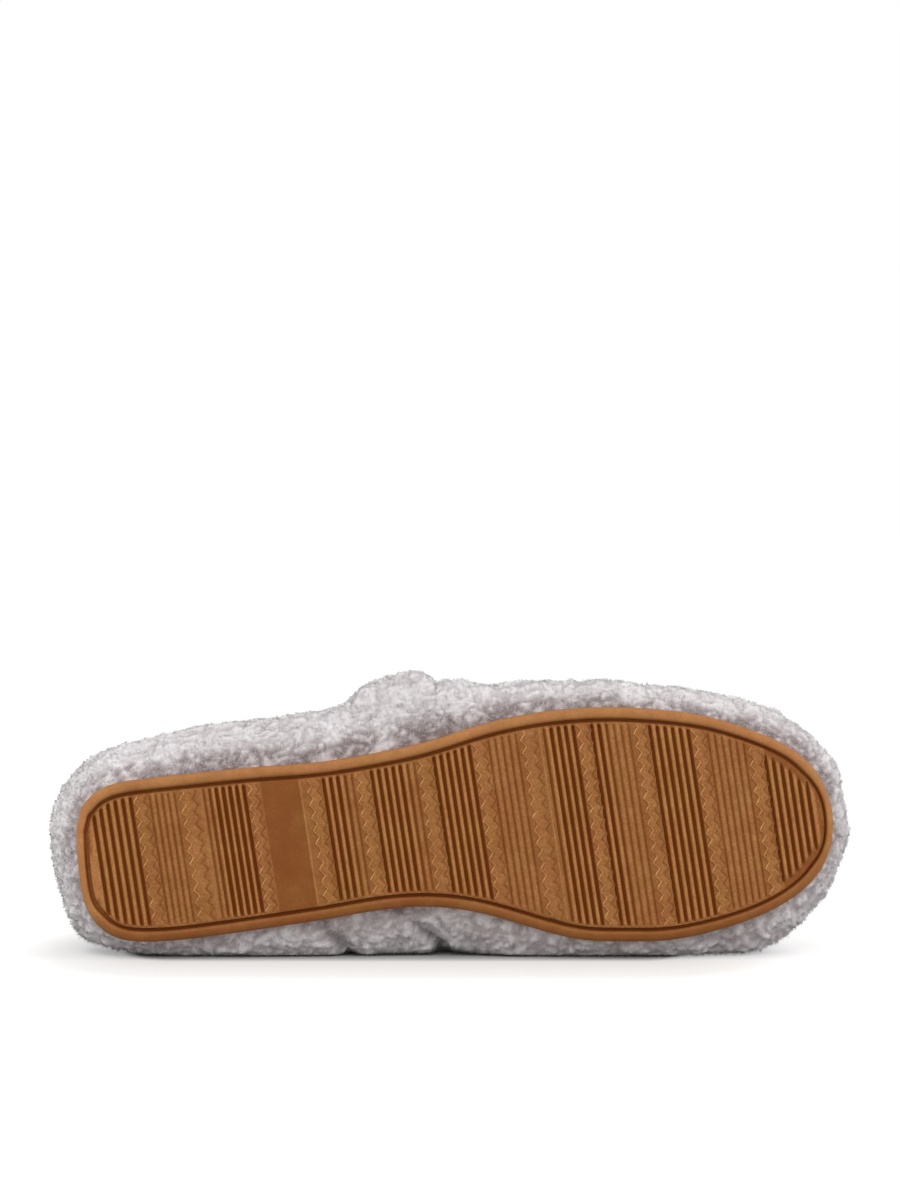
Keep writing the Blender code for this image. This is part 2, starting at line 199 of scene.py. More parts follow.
# %% Floor
PILE_BELOW = 6.0 * MM            # the pile lifts the shoe this far off the floor
FLOOR = -PILE_BELOW
FLOOR_SIZE = 30.0
SHADE_MIDDLE = (-0.014, -0.01)   # of the painted shadow strip under the shoe, nearer to the heel: the toe is lifted
SHADE_LENGTH = 0.075             # half its length
SHADE_FADE = (0.017, 0.0282)     # metres past its ends and from its middle line, to the shoe's front edge
WHITE_AT = 11.0                  # the floor is all white this many times as far away
Glow = namedtuple("Glow", "share light")
GLOW = (Glow(0.85, 0.0), Glow(1.13, 0.31), Glow(2.34, 0.42), Glow(3.2, 0.6), Glow(WHITE_AT, 1.0))

bpy.ops.object.select_all(action="DESELECT")
bpy.ops.mesh.primitive_plane_add(size=FLOOR_SIZE, location=(*SHADE_MIDDLE, FLOOR))
floor = bpy.context.object
floor.name = "photo_table"
white_laminate, tree, laminate = new_material("white_laminate")   # matt, white for the camera alone; its glow is dimmed under the shoe as a painted shadow
laminate.inputs["Base Color"].default_value = linear("#BDBCBB")
laminate.inputs["Roughness"].default_value = 0.9
laminate.inputs["Specular IOR Level"].default_value = 0.0
laminate.inputs["Emission Color"].default_value = linear("#FFFFFF")
seen = add_node(tree, "ShaderNodeLightPath").outputs["Is Camera Ray"]
place = add_node(tree, "ShaderNodeTexCoord").outputs["Object"]
lengths = add_node(tree, "ShaderNodeVectorMath", {}, {0: place}, operation="ABSOLUTE")
beyond = add_node(tree, "ShaderNodeVectorMath", {1: (SHADE_LENGTH, 0.0, 0.0)}, {0: lengths.outputs[0]},
                  operation="SUBTRACT")
past = add_node(tree, "ShaderNodeVectorMath", {1: (0.0, 0.0, 0.0)}, {0: beyond.outputs[0]},
                operation="MAXIMUM")
fades = add_node(tree, "ShaderNodeVectorMath", {1: [1 / (fade * WHITE_AT) for fade in SHADE_FADE] + [0.0]},
                 {0: past.outputs[0]}, operation="MULTIPLY")
away = add_node(tree, "ShaderNodeVectorMath", {}, {0: fades.outputs[0]}, operation="LENGTH")
# painted shadow: the floor's glow is nil under the shoe and rises to white away from it
glow = add_node(tree, "ShaderNodeValToRGB", {}, {"Fac": away.outputs["Value"]})
for step in GLOW:
    glow.color_ramp.elements.new(step.share / WHITE_AT).color = [step.light] * 3 + [1.0]
glow.color_ramp.elements.remove(glow.color_ramp.elements[0])
glow.color_ramp.elements.remove(glow.color_ramp.elements[-1])
burnt_out = add_node(tree, "ShaderNodeMath", {}, {0: seen, 1: glow.outputs["Color"]}, operation="MULTIPLY")
tree.links.new(burnt_out.outputs[0], laminate.inputs["Emission Strength"])
floor.data.materials.append(white_laminate)
print(f"floor at {FLOOR / MM:.1f} mm")

# %% Light
Panel = namedtuple("Panel", "name place size watts")
PANELS = (
    Panel("key_panel", (-0.85, -0.55, 1.1), 0.9, 7.5),
    Panel("front_panel", (-0.1, -1.4, 1.0), 1.0, 6.4),
    Panel("toe_panel", (1.2, -0.35, 0.6), 0.8, 7.0),
)
ROOM_LIGHT = (0.62, 0.58)        # strength of the room at the horizon and overhead
for panel in PANELS:
    light = bpy.data.lights.new(panel.name, "AREA")
    light.size, light.energy = panel.size, panel.watts
    lamp = bpy.data.objects.new(panel.name, light)
    bpy.context.scene.collection.objects.link(lamp)
    lamp.location = panel.place
    lamp.rotation_euler = (-Vector(panel.place)).to_track_quat("-Z", "Y").to_euler()

white_room = bpy.data.worlds.new("white_room")
white_room.use_nodes = True
tree = white_room.node_tree
tree.nodes["Background"].inputs["Color"].default_value = linear("#FFFFFF")
seen = add_node(tree, "ShaderNodeLightPath").outputs["Is Camera Ray"]
view = add_node(tree, "ShaderNodeTexCoord").outputs["Generated"]
heading = add_node(tree, "ShaderNodeSeparateXYZ", {}, {0: view})
room = add_node(tree, "ShaderNodeMapRange", {"To Min": ROOM_LIGHT[0], "To Max": ROOM_LIGHT[1]},
                {"Value": heading.outputs["Z"]})
bright = add_node(tree, "ShaderNodeMapRange", {"To Max": 1.0}, {"Value": seen, "To Min": room.outputs[0]})
tree.links.new(bright.outputs[0], tree.nodes["Background"].inputs["Strength"])
bpy.context.scene.world = white_room
bpy.context.scene.view_settings.view_transform = "Standard"
print("panels:", ", ".join(panel.name for panel in PANELS))

# %% [markdown]
# ## The sole's outline
#
# The sole is one moulding: a rounded bead runs round the edge, a narrow groove follows inside it, and
# the tread fills the rest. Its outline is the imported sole's own. The side wall is the only upright
# band of that solid that is over 3 mm tall, so its lower edge, walked round in order, is the outline.
# A smooth curve through those corners then gives points as close together as the bead needs.

# %% Merge a copy of a node, because a node's mesh is loose triangles
def merged_copy(node, name):
    """A new object with the node's shape, its doubled vertices merged."""
    obj = bpy.data.objects.new(name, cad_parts[node].data.copy())
    bpy.context.scene.collection.objects.link(obj)
    obj.data.materials.clear()
    pick(obj)
    bpy.ops.object.mode_set(mode="EDIT")
    bpy.ops.mesh.select_all(action="SELECT")
    bpy.ops.mesh.remove_doubles(threshold=1e-6)
    bpy.ops.object.mode_set(mode="OBJECT")
    if "custom_normal" in obj.data.attributes:
        obj.data.attributes.remove(obj.data.attributes["custom_normal"])
    return obj


print("copies can be merged, and the packed nodes stay as they are")

# %% Walk round the side wall
WALL_FOOT = 1.9                  # height of the wall's lower edge over the tread plane
WALL_TALL = 3.2                  # only the side wall is an upright band taller than this
OUTLINE_POINTS = 480
EASE_POINTS = 5

sole_copy = merged_copy("outsole", "sole_copy")
sole_shoe = to_shoe(get_points(sole_copy.data))
next_corner = {}
for face in sole_copy.data.polygons:
    corners = list(face.vertices)
    heights = sole_shoe[corners, 2]
    upright = abs(face.normal.y) < 0.1
    if not upright or np.ptp(heights) < WALL_TALL:
        continue
    low = heights < heights.min() + WALL_TALL / 2
    for i, corner in enumerate(corners):
        after = (i + 1) % len(corners)
        if low[i] and low[after]:
            next_corner[corner] = corners[after]
walk = [min(next_corner)]
while next_corner[walk[-1]] != walk[0]:
    walk.append(next_corner[walk[-1]])
wall_foot = sole_shoe[walk]
bpy.data.objects.remove(sole_copy)
print(f"side wall walked round in {len(walk)} corners")


# %% A smooth closed curve through the corners
def smooth_loop(corners, count):
    """Evenly spaced points on a closed curve that passes through the corners."""
    before, after = np.roll(corners, 1, axis=0), np.roll(corners, -1, axis=0)
    step = np.linalg.norm(after - corners, axis=1)
    slope = (after - before) / (step + np.roll(step, 1))[:, None]
    start = np.concatenate([[0.0], np.cumsum(step)])
    place = np.linspace(0.0, start[-1], count, endpoint=False)
    i = np.searchsorted(start, place, side="right") - 1
    j = (i + 1) % len(corners)
    t, h = ((place - start[i]) / step[i])[:, None], step[i][:, None]
    return ((1 + 2 * t) * (1 - t) ** 2 * corners[i] + t * (1 - t) ** 2 * h * slope[i]
            + t * t * (3 - 2 * t) * corners[j] + t * t * (t - 1) * h * slope[j])


def eased(loop, reach):
    """The loop with small kinks eased out over this many points, and its size kept."""
    turns = np.fft.fftfreq(len(loop), 1 / len(loop))
    keep = np.exp(-0.5 * (2 * math.pi * turns * reach / len(loop)) ** 2)
    keep = keep * (2.0 - keep)
    return np.real(np.fft.ifft(np.fft.fft(loop, axis=0) * keep[:, None], axis=0))


outline = eased(smooth_loop(wall_foot[:, :2], OUTLINE_POINTS), EASE_POINTS)
along_outline = unit(np.roll(outline, -1, axis=0) - np.roll(outline, 1, axis=0))
outline_out = np.stack([along_outline[:, 1], -along_outline[:, 0]], axis=1)
if np.mean(np.sum(outline_out * (outline - outline.mean(0)), axis=1)) < 0:
    outline_out = -outline_out

TOE_NARROWING, TOE_SPAN = 0.12, (170.0, 235.0)    # the bead loses this share over these mm from the heel
END_NARROWING, END_FACING = 0.26, (0.75, 1.0)     # and this share as the edge turns to heel or toe, a cosine
narrowing = TOE_NARROWING * smoothstep(*TOE_SPAN, outline[:, 0])
narrowing += END_NARROWING * smoothstep(*END_FACING, np.abs(outline_out[:, 0]))
inwards = -outline_out * (1.0 - narrowing)[:, None]   # one step in, shorter where the bead is narrower


def rim_place(turn, inset):
    """Points of the outline at these counts round it, moved inwards by inset."""
    i = np.floor(turn).astype(int) % OUTLINE_POINTS
    j, t = (i + 1) % OUTLINE_POINTS, (turn - np.floor(turn))[:, None]
    ring = outline + inwards * inset
    return ring[i] * (1 - t) + ring[j] * t


def inside_by(points, ring):
    """How far points lie inside a ring, below zero outside it. Only x and y count."""
    found = np.empty(len(points))
    for part in np.array_split(np.arange(len(points)), max(1, len(points) // 4000)):
        apart = points[part, None, :2] - ring[None]
        nearest = (apart ** 2).sum(2).argmin(1)
        rows = np.arange(len(part))
        found[part] = -(apart[rows, nearest] * outline_out[nearest]).sum(1)
    return found


print(f"outline spans {np.ptp(outline[:, 0]):.1f} x {np.ptp(outline[:, 1]):.1f} mm")

# %% [markdown]
# ## The lift of toe and heel
#
# The sole is moulded flat in the middle, and its toe and heel curve up a little. It is easier to model
# flat and bend at the end, so one function holds the bend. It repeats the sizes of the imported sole, and
# the print shows how closely it follows the wall that was walked round.

# %% Toe spring
TOE_SPRING, TOE_SPRING_START = 6.0, 178.0
HEEL_RISE, HEEL_RISE_LENGTH = 1.2, 14.0


def rise(x):
    """How far the sole is lifted at this distance from the heel."""
    toe = np.clip((x - TOE_SPRING_START) / (SOLE_LENGTH - TOE_SPRING_START), 0.0, None)
    heel = np.clip((HEEL_RISE_LENGTH - x) / HEEL_RISE_LENGTH, 0.0, None)
    return TOE_SPRING * toe ** 2 + HEEL_RISE * heel ** 2


off = np.abs(wall_foot[:, 2] - WALL_FOOT - rise(wall_foot[:, 0])).max()
print(f"the bend follows the packed wall within {off:.2f} mm")

# %% [markdown]
# ## The tread
#
# The tread is a repeat of deep ribs, low ribs and strips edged with zigzags, all slanted a little across
# the sole, and one band is smooth. A grid is a good start: each row lies along one line of the chart,
# so seven rows across a groove round it softly, and four rows bent to a zigzag make a crisp edge.
# Columns are spaced by a quarter of the zigzag, so its points always meet a column.

# %% The chart, in millimetres from the heel
SLANT = 0.0925                   # a line moves this much towards the toe for each step to the inner side
DEEP, MIDDLE, LOW = 1.15, 0.6, 0.36
RibGroup = namedtuple("RibGroup", "first pitch count before between after")
RIB_GROUPS = (
    RibGroup(6.2, 2.52, 6, 0.0, DEEP, DEEP),
    RibGroup(27.3, 2.03, 4, LOW, LOW, LOW),
    RibGroup(42.9, 1.95, 2, 0.0, LOW, MIDDLE),
    RibGroup(46.9, 2.22, 5, 0.0, DEEP, DEEP),
    RibGroup(83.95, 2.37, 3, DEEP, DEEP, MIDDLE),
    RibGroup(91.0, 2.2, 1, 0.0, LOW, LOW),
    RibGroup(99.75, 2.37, 5, DEEP, DEEP, MIDDLE),
    RibGroup(111.55, 2.2, 1, 0.0, LOW, LOW),
    RibGroup(120.4, 2.37, 5, DEEP, DEEP, DEEP),
    RibGroup(138.6, 2.27, 4, LOW, LOW, LOW),
    RibGroup(157.0, 2.37, 4, MIDDLE, DEEP, DEEP),
    RibGroup(172.5, 2.37, 2, DEEP, DEEP, MIDDLE),
    RibGroup(177.3, 2.3, 3, 0.0, LOW, LOW),
    RibGroup(191.05, 2.43, 5, DEEP, DEEP, DEEP),
    RibGroup(209.2, 2.22, 5, LOW, LOW, LOW),
    RibGroup(226.8, 2.45, 6, DEEP, DEEP, LOW),
)
ZigzagStrip = namedtuple("ZigzagStrip", "light_edge dark_edge")
ZIGZAG_STRIPS = (
    ZigzagStrip(21.75, 24.9), ZigzagStrip(36.7, 40.6), ZigzagStrip(58.6, 61.0), ZigzagStrip(78.0, 81.1),
    ZigzagStrip(93.9, 97.0), ZigzagStrip(114.3, 117.7), ZigzagStrip(132.8, 136.2),
    ZigzagStrip(148.7, 152.5), ZigzagStrip(167.0, 169.9), ZigzagStrip(185.3, 188.2),
    ZigzagStrip(203.7, 206.7), ZigzagStrip(221.2, 224.3),
)
THIN_RIDGES = (75.1, 154.2)
SMOOTH_BAND = (62.4, 74.6)
BAND_EDGE = 0.05                 # half the distance between the two rows that make an edge of the band crisp
BAND_ROWS = 7                    # rows across the band, its edges among them
ZIGZAG_PERIOD, ZIGZAG_REACH = 4.2, 0.9
print(f"{len(RIB_GROUPS)} rib groups and {len(ZIGZAG_STRIPS)} zigzag strips")

# %% Rows of the grid, each with its depth into the sole
Row = namedtuple("Row", "station depth zigzag")
RIB_CROWN, LOW_CROWN = 0.24, 0.13    # ribs stand this much over the plain strips, low ribs less
RIB_TOP = (-0.3, 0.0, 0.3)       # their tops are flat, with a row along each edge and one along the middle
GROOVE_HALF = {DEEP: 0.66, MIDDLE: 0.55, LOW: 0.46}
GROOVE_SHAPE = ((-1.0, 0.0), (-0.7, 0.42), (-0.34, 0.92), (0.0, 1.0), (0.34, 0.92), (0.7, 0.42), (1.0, 0.0))
LIGHT_EDGE = ((-0.3, 0.0), (-0.16, -0.32), (0.14, -0.36), (0.34, -0.06))
DARK_EDGE = ((-0.4, -0.04), (-0.12, 0.16), (0.12, 0.18), (0.4, 0.0))
RIDGE_SHAPE = ((-0.4, 0.0), (-0.13, -0.2), (0.13, -0.2), (0.4, 0.0))


def rows_of_ribs(group):
    """Rows through the grooves beside and between a group's ribs, and along each rib's top."""
    grooves = [(group.first - group.pitch / 2, group.before)]
    grooves += [(group.first + (i + 0.5) * group.pitch, group.between) for i in range(group.count - 1)]
    grooves += [(group.first + (group.count - 0.5) * group.pitch, group.after)]
    crown = LOW_CROWN if group.between == LOW else RIB_CROWN
    tops = [group.first + i * group.pitch for i in range(group.count)]
    rows = [Row(top + at, -crown, 0.0) for top in tops for at in RIB_TOP]
    for centre, depth in grooves:
        if depth:
            rows += [Row(centre + GROOVE_HALF[depth] * at, depth * share, 0.0) for at, share in GROOVE_SHAPE]
    return rows


rows = [row for group in RIB_GROUPS for row in rows_of_ribs(group)]
for strip in ZIGZAG_STRIPS:
    rows += [Row(strip.light_edge + at, depth, ZIGZAG_REACH) for at, depth in LIGHT_EDGE]
    rows += [Row(strip.dark_edge + at, depth, ZIGZAG_REACH) for at, depth in DARK_EDGE]
for ridge in THIN_RIDGES:
    rows += [Row(ridge + at, depth, 0.0) for at, depth in RIDGE_SHAPE]
rows += [Row(edge + at, 0.0, 0.0) for edge in SMOOTH_BAND for at in (-BAND_EDGE, BAND_EDGE)]
rows += [Row(at, 0.0, 0.0) for at in np.linspace(*SMOOTH_BAND, BAND_ROWS)[1:-1]]
print(f"{len(rows)} rows charted")

# %% Where each row meets the edge of the tread
FIELD_INSET = 4.2                # from the outline to the edge of the tread
END_CLEAR = 1.6                  # charted rows keep this far from the tread's two ends
HEEL_STEPS = (0.0, 0.02, 0.1, 0.3, 0.55, 0.8, 1.1, 1.45)
TOE_STEPS = (0.0, 0.02, 0.1, 0.3, 0.7, 1.3)

field = outline + inwards * FIELD_INSET
field_station = field[:, 0] - SLANT * field[:, 1]
first_station, last_station = field_station.min(), field_station.max()
inner_rows = [row for row in rows if first_station + END_CLEAR < row.station < last_station - END_CLEAR]
end_rows = [Row(first_station + step, 0.0, 0.0) for step in HEEL_STEPS]
end_rows += [Row(last_station - step, 0.0, 0.0) for step in TOE_STEPS]
rows = sorted(inner_rows + end_rows)


def row_ends(station):
    """Counts round the outline where a slanted line crosses the tread's edge, outer side first."""
    beyond = field_station - station
    after = np.roll(beyond, -1)
    i = np.flatnonzero((beyond < 0) != (after < 0))
    turns = i + beyond[i] / (beyond[i] - after[i])
    if len(turns) < 2:
        nearest = float(np.abs(beyond).argmin())
        return nearest, nearest
    across = rim_place(turns, FIELD_INSET)[:, 1]
    return turns[across.argmin()], turns[across.argmax()]


ends = np.array([row_ends(row.station) for row in rows])
outer_y = rim_place(ends[:, 0], FIELD_INSET)[:, 1]
inner_y = rim_place(ends[:, 1], FIELD_INSET)[:, 1]
print(f"{len(rows)} rows, the longest {np.max(inner_y - outer_y):.1f} mm")

# %% Lay the grid on the rows
EDGE_MARGIN, MARGIN_SHARE = 1.4, 0.45   # closer columns fill this width at a row's ends, or this share of it
EDGE_SHARES = (0.0, 0.12, 0.34, 0.7)    # where in that width they lie
WIDEST = 44.0                           # no row reaches further from the middle line
ZIGZAG_FADE = 1.5                       # a zigzag straightens over this distance from its ends
column_y = np.arange(-WIDEST, WIDEST, ZIGZAG_PERIOD / 4)
station = np.array([row.station for row in rows])[:, None]
depth = np.array([row.depth for row in rows])[:, None]
zigzag = np.array([row.zigzag for row in rows])[:, None]
margin = np.minimum(EDGE_MARGIN, MARGIN_SHARE * (inner_y - outer_y))[:, None]
outer_edge, inner_edge = outer_y[:, None], inner_y[:, None]
shares = np.array(EDGE_SHARES)[None]
middle = np.clip(column_y[None], outer_edge + margin, inner_edge - margin)
across = np.hstack([outer_edge + margin * shares, middle, inner_edge - margin * shares[:, ::-1]])
from_end = np.minimum(across - outer_edge, inner_edge - across)
wave = 4.0 * np.abs(across / ZIGZAG_PERIOD - np.floor(across / ZIGZAG_PERIOD + 0.5)) - 1.0
lengthwise = station + zigzag * wave * smoothstep(0.0, ZIGZAG_FADE, from_end)
lengthwise = np.maximum.accumulate(lengthwise, axis=0) + SLANT * across   # no row may cross the next
tread_xy = np.stack([lengthwise, across], axis=2).reshape(-1, 2)

bpy.ops.object.select_all(action="DESELECT")
bpy.ops.mesh.primitive_grid_add(x_subdivisions=across.shape[1] - 1, y_subdivisions=across.shape[0] - 1)
sole = bpy.context.object
sole.name = "sole_moulding"
print(f"grid of {len(sole.data.vertices)} vertices for {across.size} places")

# %% Press the grooves into the grid
TREAD_FACE = 0.2                 # the tread lies this much above the bead's lowest line
GROOVE_FLOOR = 1.75              # and the floor of the groove inside the bead this much
GROOVE_WALL = 0.55               # that groove's wall falls over this distance
GROOVE_END, GROOVE_STEP = 0.7, 0.9   # grooves stop this far from the tread's edge, over this distance
TOE_RIBS, TOE_END = 225.0, 2.0       # the ribs at the toe stop further in
TIP_RIB, TIP_END = 237.8, 0.8        # but not the last of them
TOE_GROUND, LAST_RIB = 0.35, 240.3   # beyond the last rib the ground lies lower
FIRST_RIB = 6.2                      # the first rib is a crescent that fills the heel's end
HEEL_GROOVE = 0.6                    # the groove round it is wider by this much
HEEL_GROOVE_END = (5.5, 8.5)         # mm from the heel, where it narrows again
into_field = inside_by(tread_xy, field)
own_station = tread_xy[:, 0] - SLANT * tread_xy[:, 1]
groove_end = np.select([own_station > TIP_RIB, own_station > TOE_RIBS], [TIP_END, TOE_END], GROOVE_END)
run_out = smoothstep(0.0, GROOVE_STEP, into_field - groove_end)
at_toe = smoothstep(TOE_RIBS, TOE_RIBS + 1.0, own_station)
relief = np.repeat(depth, across.shape[1], axis=1).ravel() * run_out + TOE_GROUND * at_toe * (1.0 - run_out)
relief = np.where(own_station < FIRST_RIB, -RIB_CROWN, relief)
relief = np.where(own_station > LAST_RIB, np.maximum(relief, TOE_GROUND), relief)
from_groove = into_field - HEEL_GROOVE * (1.0 - smoothstep(*HEEL_GROOVE_END, own_station))
edge_fall = (GROOVE_FLOOR - TREAD_FACE) * (1.0 - smoothstep(0.0, GROOVE_WALL, from_groove))
tread_height = TREAD_FACE + np.where(edge_fall > 0.02, np.maximum(relief, edge_fall), relief)
set_points(sole.data, np.column_stack([tread_xy, tread_height]))
print(f"tread pressed {relief.max():.2f} mm deep")

# %% Mark each point with its tone, its grain and its place round the edge
LIT_TONE, LIT_SWING = 0.58, 0.28     # painted highlight: how pale a zigzag's lit edge is, and how much that swings along it, palest where it faces the light
PAINTED_HIGHLIGHT_SPREAD, PAINTED_SHADE_SPREAD = (0.6, 1.2), (0.6, 2.4)   # the painted highlight and painted shade on the two edges vary at random: tones are multiplied by such numbers
RIB_PAINTED_HIGHLIGHT, WALL_PAINTED_SHADE, BAND_TONE = 0.32, 0.6, 0.29   # painted highlight on rib tops, painted shade down groove walls, and how dark the band is
BAND_GRAIN = 0.35
turn_mark = np.zeros(across.shape)
turn_mark[:, 0], turn_mark[:, -1] = ends[:, 0], ends[:, 1]
turn_mark[[0, -1]] = ends[[0, -1], :1]
set_attribute(sole.data, "turn", turn_mark.ravel())
in_band = (own_station > SMOOTH_BAND[0]) & (own_station < SMOOTH_BAND[1])
phase = 2.0 * math.pi * across / ZIGZAG_PERIOD
rng = np.random.default_rng(5)
lit_side = (LIT_TONE - LIT_SWING * np.sin(phase)) * rng.uniform(*PAINTED_HIGHLIGHT_SPREAD, across.shape)
dark_side = rng.uniform(*PAINTED_SHADE_SPREAD, across.shape)
on_zigzag = np.repeat(zigzag > 0, across.shape[1], axis=1).ravel()
# painted highlight on rib tops and lit zigzag edges, painted shade in grooves, on the groove wall and on
# shaded zigzag edges
paler = np.where(on_zigzag, lit_side.ravel(), RIB_PAINTED_HIGHLIGHT) * np.clip(-relief / RIB_CROWN, 0.0, 1.0)
deeper = np.clip(relief / DEEP, 0.0, 1.0) * np.where(on_zigzag, dark_side.ravel(), 1.0)
deeper_wall = WALL_PAINTED_SHADE * np.clip(edge_fall, 0, 1)
set_attribute(sole.data, "tone", paler - deeper - deeper_wall - BAND_TONE * in_band)
set_attribute(sole.data, "grain", np.where(in_band, BAND_GRAIN, 1.0))
pick(sole)
bpy.ops.object.mode_set(mode="EDIT")
bpy.ops.mesh.select_all(action="SELECT")
bpy.ops.mesh.remove_doubles(threshold=0.002)
bpy.ops.object.mode_set(mode="OBJECT")
print(f"tread of {len(sole.data.polygons)} faces")

# %% [markdown]
# ## Bead, side wall and top of the sole
#
# The rest of the moulding grows out of the tread's edge. The open edge is extruded again and again, and
# each new ring is moved to its inset and height: across the groove, over the rounded bead, up the wall
# and in over the top. The last ring is closed by one face, which is cut into strips before the bend.

# %% Extrude the rings
Ring = namedtuple("Ring", "inset height tone")
BEAD_STEPS = 12
BEAD_WIDTH = 3.5
BEAD_FOOT = 1.5
BEAD_CROWN = 0.3                 # the bead is highest this share of its width from the groove
BEAD_ROUND = 0.8                 # below 1 its crown is broader than a circle's
BEAD_GRAIN = 0.4                 # the bead is smoother than the tread
INNER_PAINTED_SHADE = 0.41               # painted shade: darker along the inner side, which lies away from the light, as the photograph shows it
HEEL_PAINTED_LIGHT, TOE_PAINTED_LIGHT = 0.25, 0.08   # painted light: paler round heel and toe, which face the panels
# painted shade: the groove inside the bead is much darker
GROOVE_INSETS, GROOVE_PAINTED_SHADE = (4.1, 3.65), -0.8
BEAD_TONE = 0.2
WALL_RINGS = (Ring(0.0, 3.6, 0.1), Ring(0.0, 5.2, 0.0), Ring(0.2, 5.75, 0.0), Ring(0.7, 6.0, 0.0))
rings = [Ring(inset, GROOVE_FLOOR, GROOVE_PAINTED_SHADE) for inset in GROOVE_INSETS]
for step in range(BEAD_STEPS + 1):
    angle = math.pi * step / BEAD_STEPS
    foot = BEAD_FOOT + (WALL_FOOT - BEAD_FOOT) * step / BEAD_STEPS
    if step < BEAD_STEPS / 2:
        share = BEAD_CROWN * (1.0 - math.cos(angle))
    else:
        share = BEAD_CROWN - (1.0 - BEAD_CROWN) * math.cos(angle)
    height = foot * (1.0 - math.sin(angle) ** BEAD_ROUND)
    rings.append(Ring(BEAD_WIDTH * (1.0 - share), height, BEAD_TONE))
rings += WALL_RINGS

pick(sole)
bpy.ops.object.mode_set(mode="EDIT")
bpy.context.tool_settings.mesh_select_mode = (False, True, False)
bpy.ops.mesh.select_all(action="DESELECT")
bpy.ops.mesh.select_non_manifold(use_wire=False, use_multi_face=False, use_non_contiguous=False,
                                 use_verts=False)
for ring in rings:
    bpy.ops.mesh.extrude_region_move()
    bpy.ops.object.mode_set(mode="OBJECT")
    new = np.zeros(len(sole.data.vertices), bool)
    sole.data.vertices.foreach_get("select", new)
    turns = get_attribute(sole.data, "turn")[new]
    places = get_points(sole.data)
    places[new, :2] = rim_place(turns.astype(float), ring.inset)
    places[new, 2] = ring.height
    set_points(sole.data, places)
    # painted light round heel and toe, painted shade along the inner side
    facing = outline_out[np.round(turns).astype(int) % OUTLINE_POINTS]
    lighter = HEEL_PAINTED_LIGHT * np.clip(-facing[:, 0], 0.0, 1.0) + TOE_PAINTED_LIGHT * np.clip(facing[:, 0], 0.0, 1.0)
    lighter -= INNER_PAINTED_SHADE * np.clip(facing[:, 1], 0.0, 1.0)
    tones, grains = get_attribute(sole.data, "tone"), get_attribute(sole.data, "grain")
    tones[new] = ring.tone + lighter
    grains[new] = BEAD_GRAIN
    set_attribute(sole.data, "tone", tones)
    set_attribute(sole.data, "grain", grains)
    bpy.ops.object.mode_set(mode="EDIT")
print(f"{len(rings)} rings extruded")

# %% Close the top, cut it into strips and bend the sole
STRIP_WIDTH = 5.0
bpy.ops.mesh.edge_face_add()
bpy.context.tool_settings.mesh_select_mode = (False, False, True)
bpy.ops.mesh.hide(unselected=True)
for cut in np.arange(STRIP_WIDTH, SOLE_LENGTH, STRIP_WIDTH):
    bpy.ops.mesh.select_all(action="SELECT")
    bpy.ops.mesh.bisect(plane_co=(cut, 0.0, 0.0), plane_no=(1.0, 0.0, 0.0))
bpy.ops.mesh.reveal()
bpy.ops.mesh.select_all(action="SELECT")
bpy.ops.mesh.normals_make_consistent(inside=False)
bpy.ops.object.mode_set(mode="OBJECT")
bent = get_points(sole.data)
bent[:, 2] += rise(bent[:, 0])
set_points(sole.data, to_frame(bent))
bpy.ops.object.shade_smooth_by_angle(angle=math.radians(50))
print(f"sole moulding: {len(sole.data.polygons)} faces")

# %% [markdown]
# ## Tan rubber
#
# The sole is moulded thermoplastic rubber in a warm tan. It is satin, not glossy: broad soft lights lie
# on the bead, and a fine leathery grain breaks them up on the tread. Grooves are painted a deeper, redder
# brown as painted shade, since light reaches them only off other rubber, and raised edges get a painted
# highlight, a little paler.

# %% Material of the sole
GRAIN_SIZE = 0.7                 # mm across one pebble of the grain
CLOUD_SIZE = 7.0                 # mm across one patch that is a little lighter or darker
BLUSH_SIZE = 11.0                # mm across one patch that is a little redder or yellower

tan_rubber, tree, rubber = new_material("moulded_tan_rubber")
place = add_node(tree, "ShaderNodeTexCoord").outputs["Object"]
tone = add_node(tree, "ShaderNodeAttribute", attribute_name="tone").outputs["Fac"]
grain_share = add_node(tree, "ShaderNodeAttribute", attribute_name="grain").outputs["Fac"]
cloud = add_node(tree, "ShaderNodeTexNoise",
                 {"Scale": 1 / (CLOUD_SIZE * MM), "Detail": 5.0, "Roughness": 0.7}, {"Vector": place})
pebble = add_node(tree, "ShaderNodeTexNoise",
                  {"Scale": 1 / (GRAIN_SIZE * MM), "Detail": 2.0, "Roughness": 0.6}, {"Vector": place})
speckle = add_node(tree, "ShaderNodeMix", {"A": 0.5}, {"Factor": grain_share, "B": pebble.outputs["Fac"]})
drift = add_node(tree, "ShaderNodeMath", {1: 0.7}, {0: cloud.outputs["Fac"], 2: speckle.outputs[0]},
                 operation="MULTIPLY_ADD")
shade = add_node(tree, "ShaderNodeMath", {}, {0: drift.outputs[0], 1: tone}, operation="ADD")
ramp = add_node(tree, "ShaderNodeMapRange", {"From Min": -0.08, "From Max": 1.92},
                {"Value": shade.outputs[0]})
colours = add_node(tree, "ShaderNodeValToRGB", {}, {"Fac": ramp.outputs[0]})
colours.color_ramp.elements[0].color = linear("#7E4008")
colours.color_ramp.elements[1].color = linear("#E0AA70")
for at, hex_code in ((0.3, "#864E1E"), (0.5, "#9A6433"), (0.72, "#BA804C")):
    colours.color_ramp.elements.new(at).color = linear(hex_code)
blush = add_node(tree, "ShaderNodeTexNoise", {"Scale": 1 / (BLUSH_SIZE * MM), "Detail": 3.0},
                 {"Vector": place})
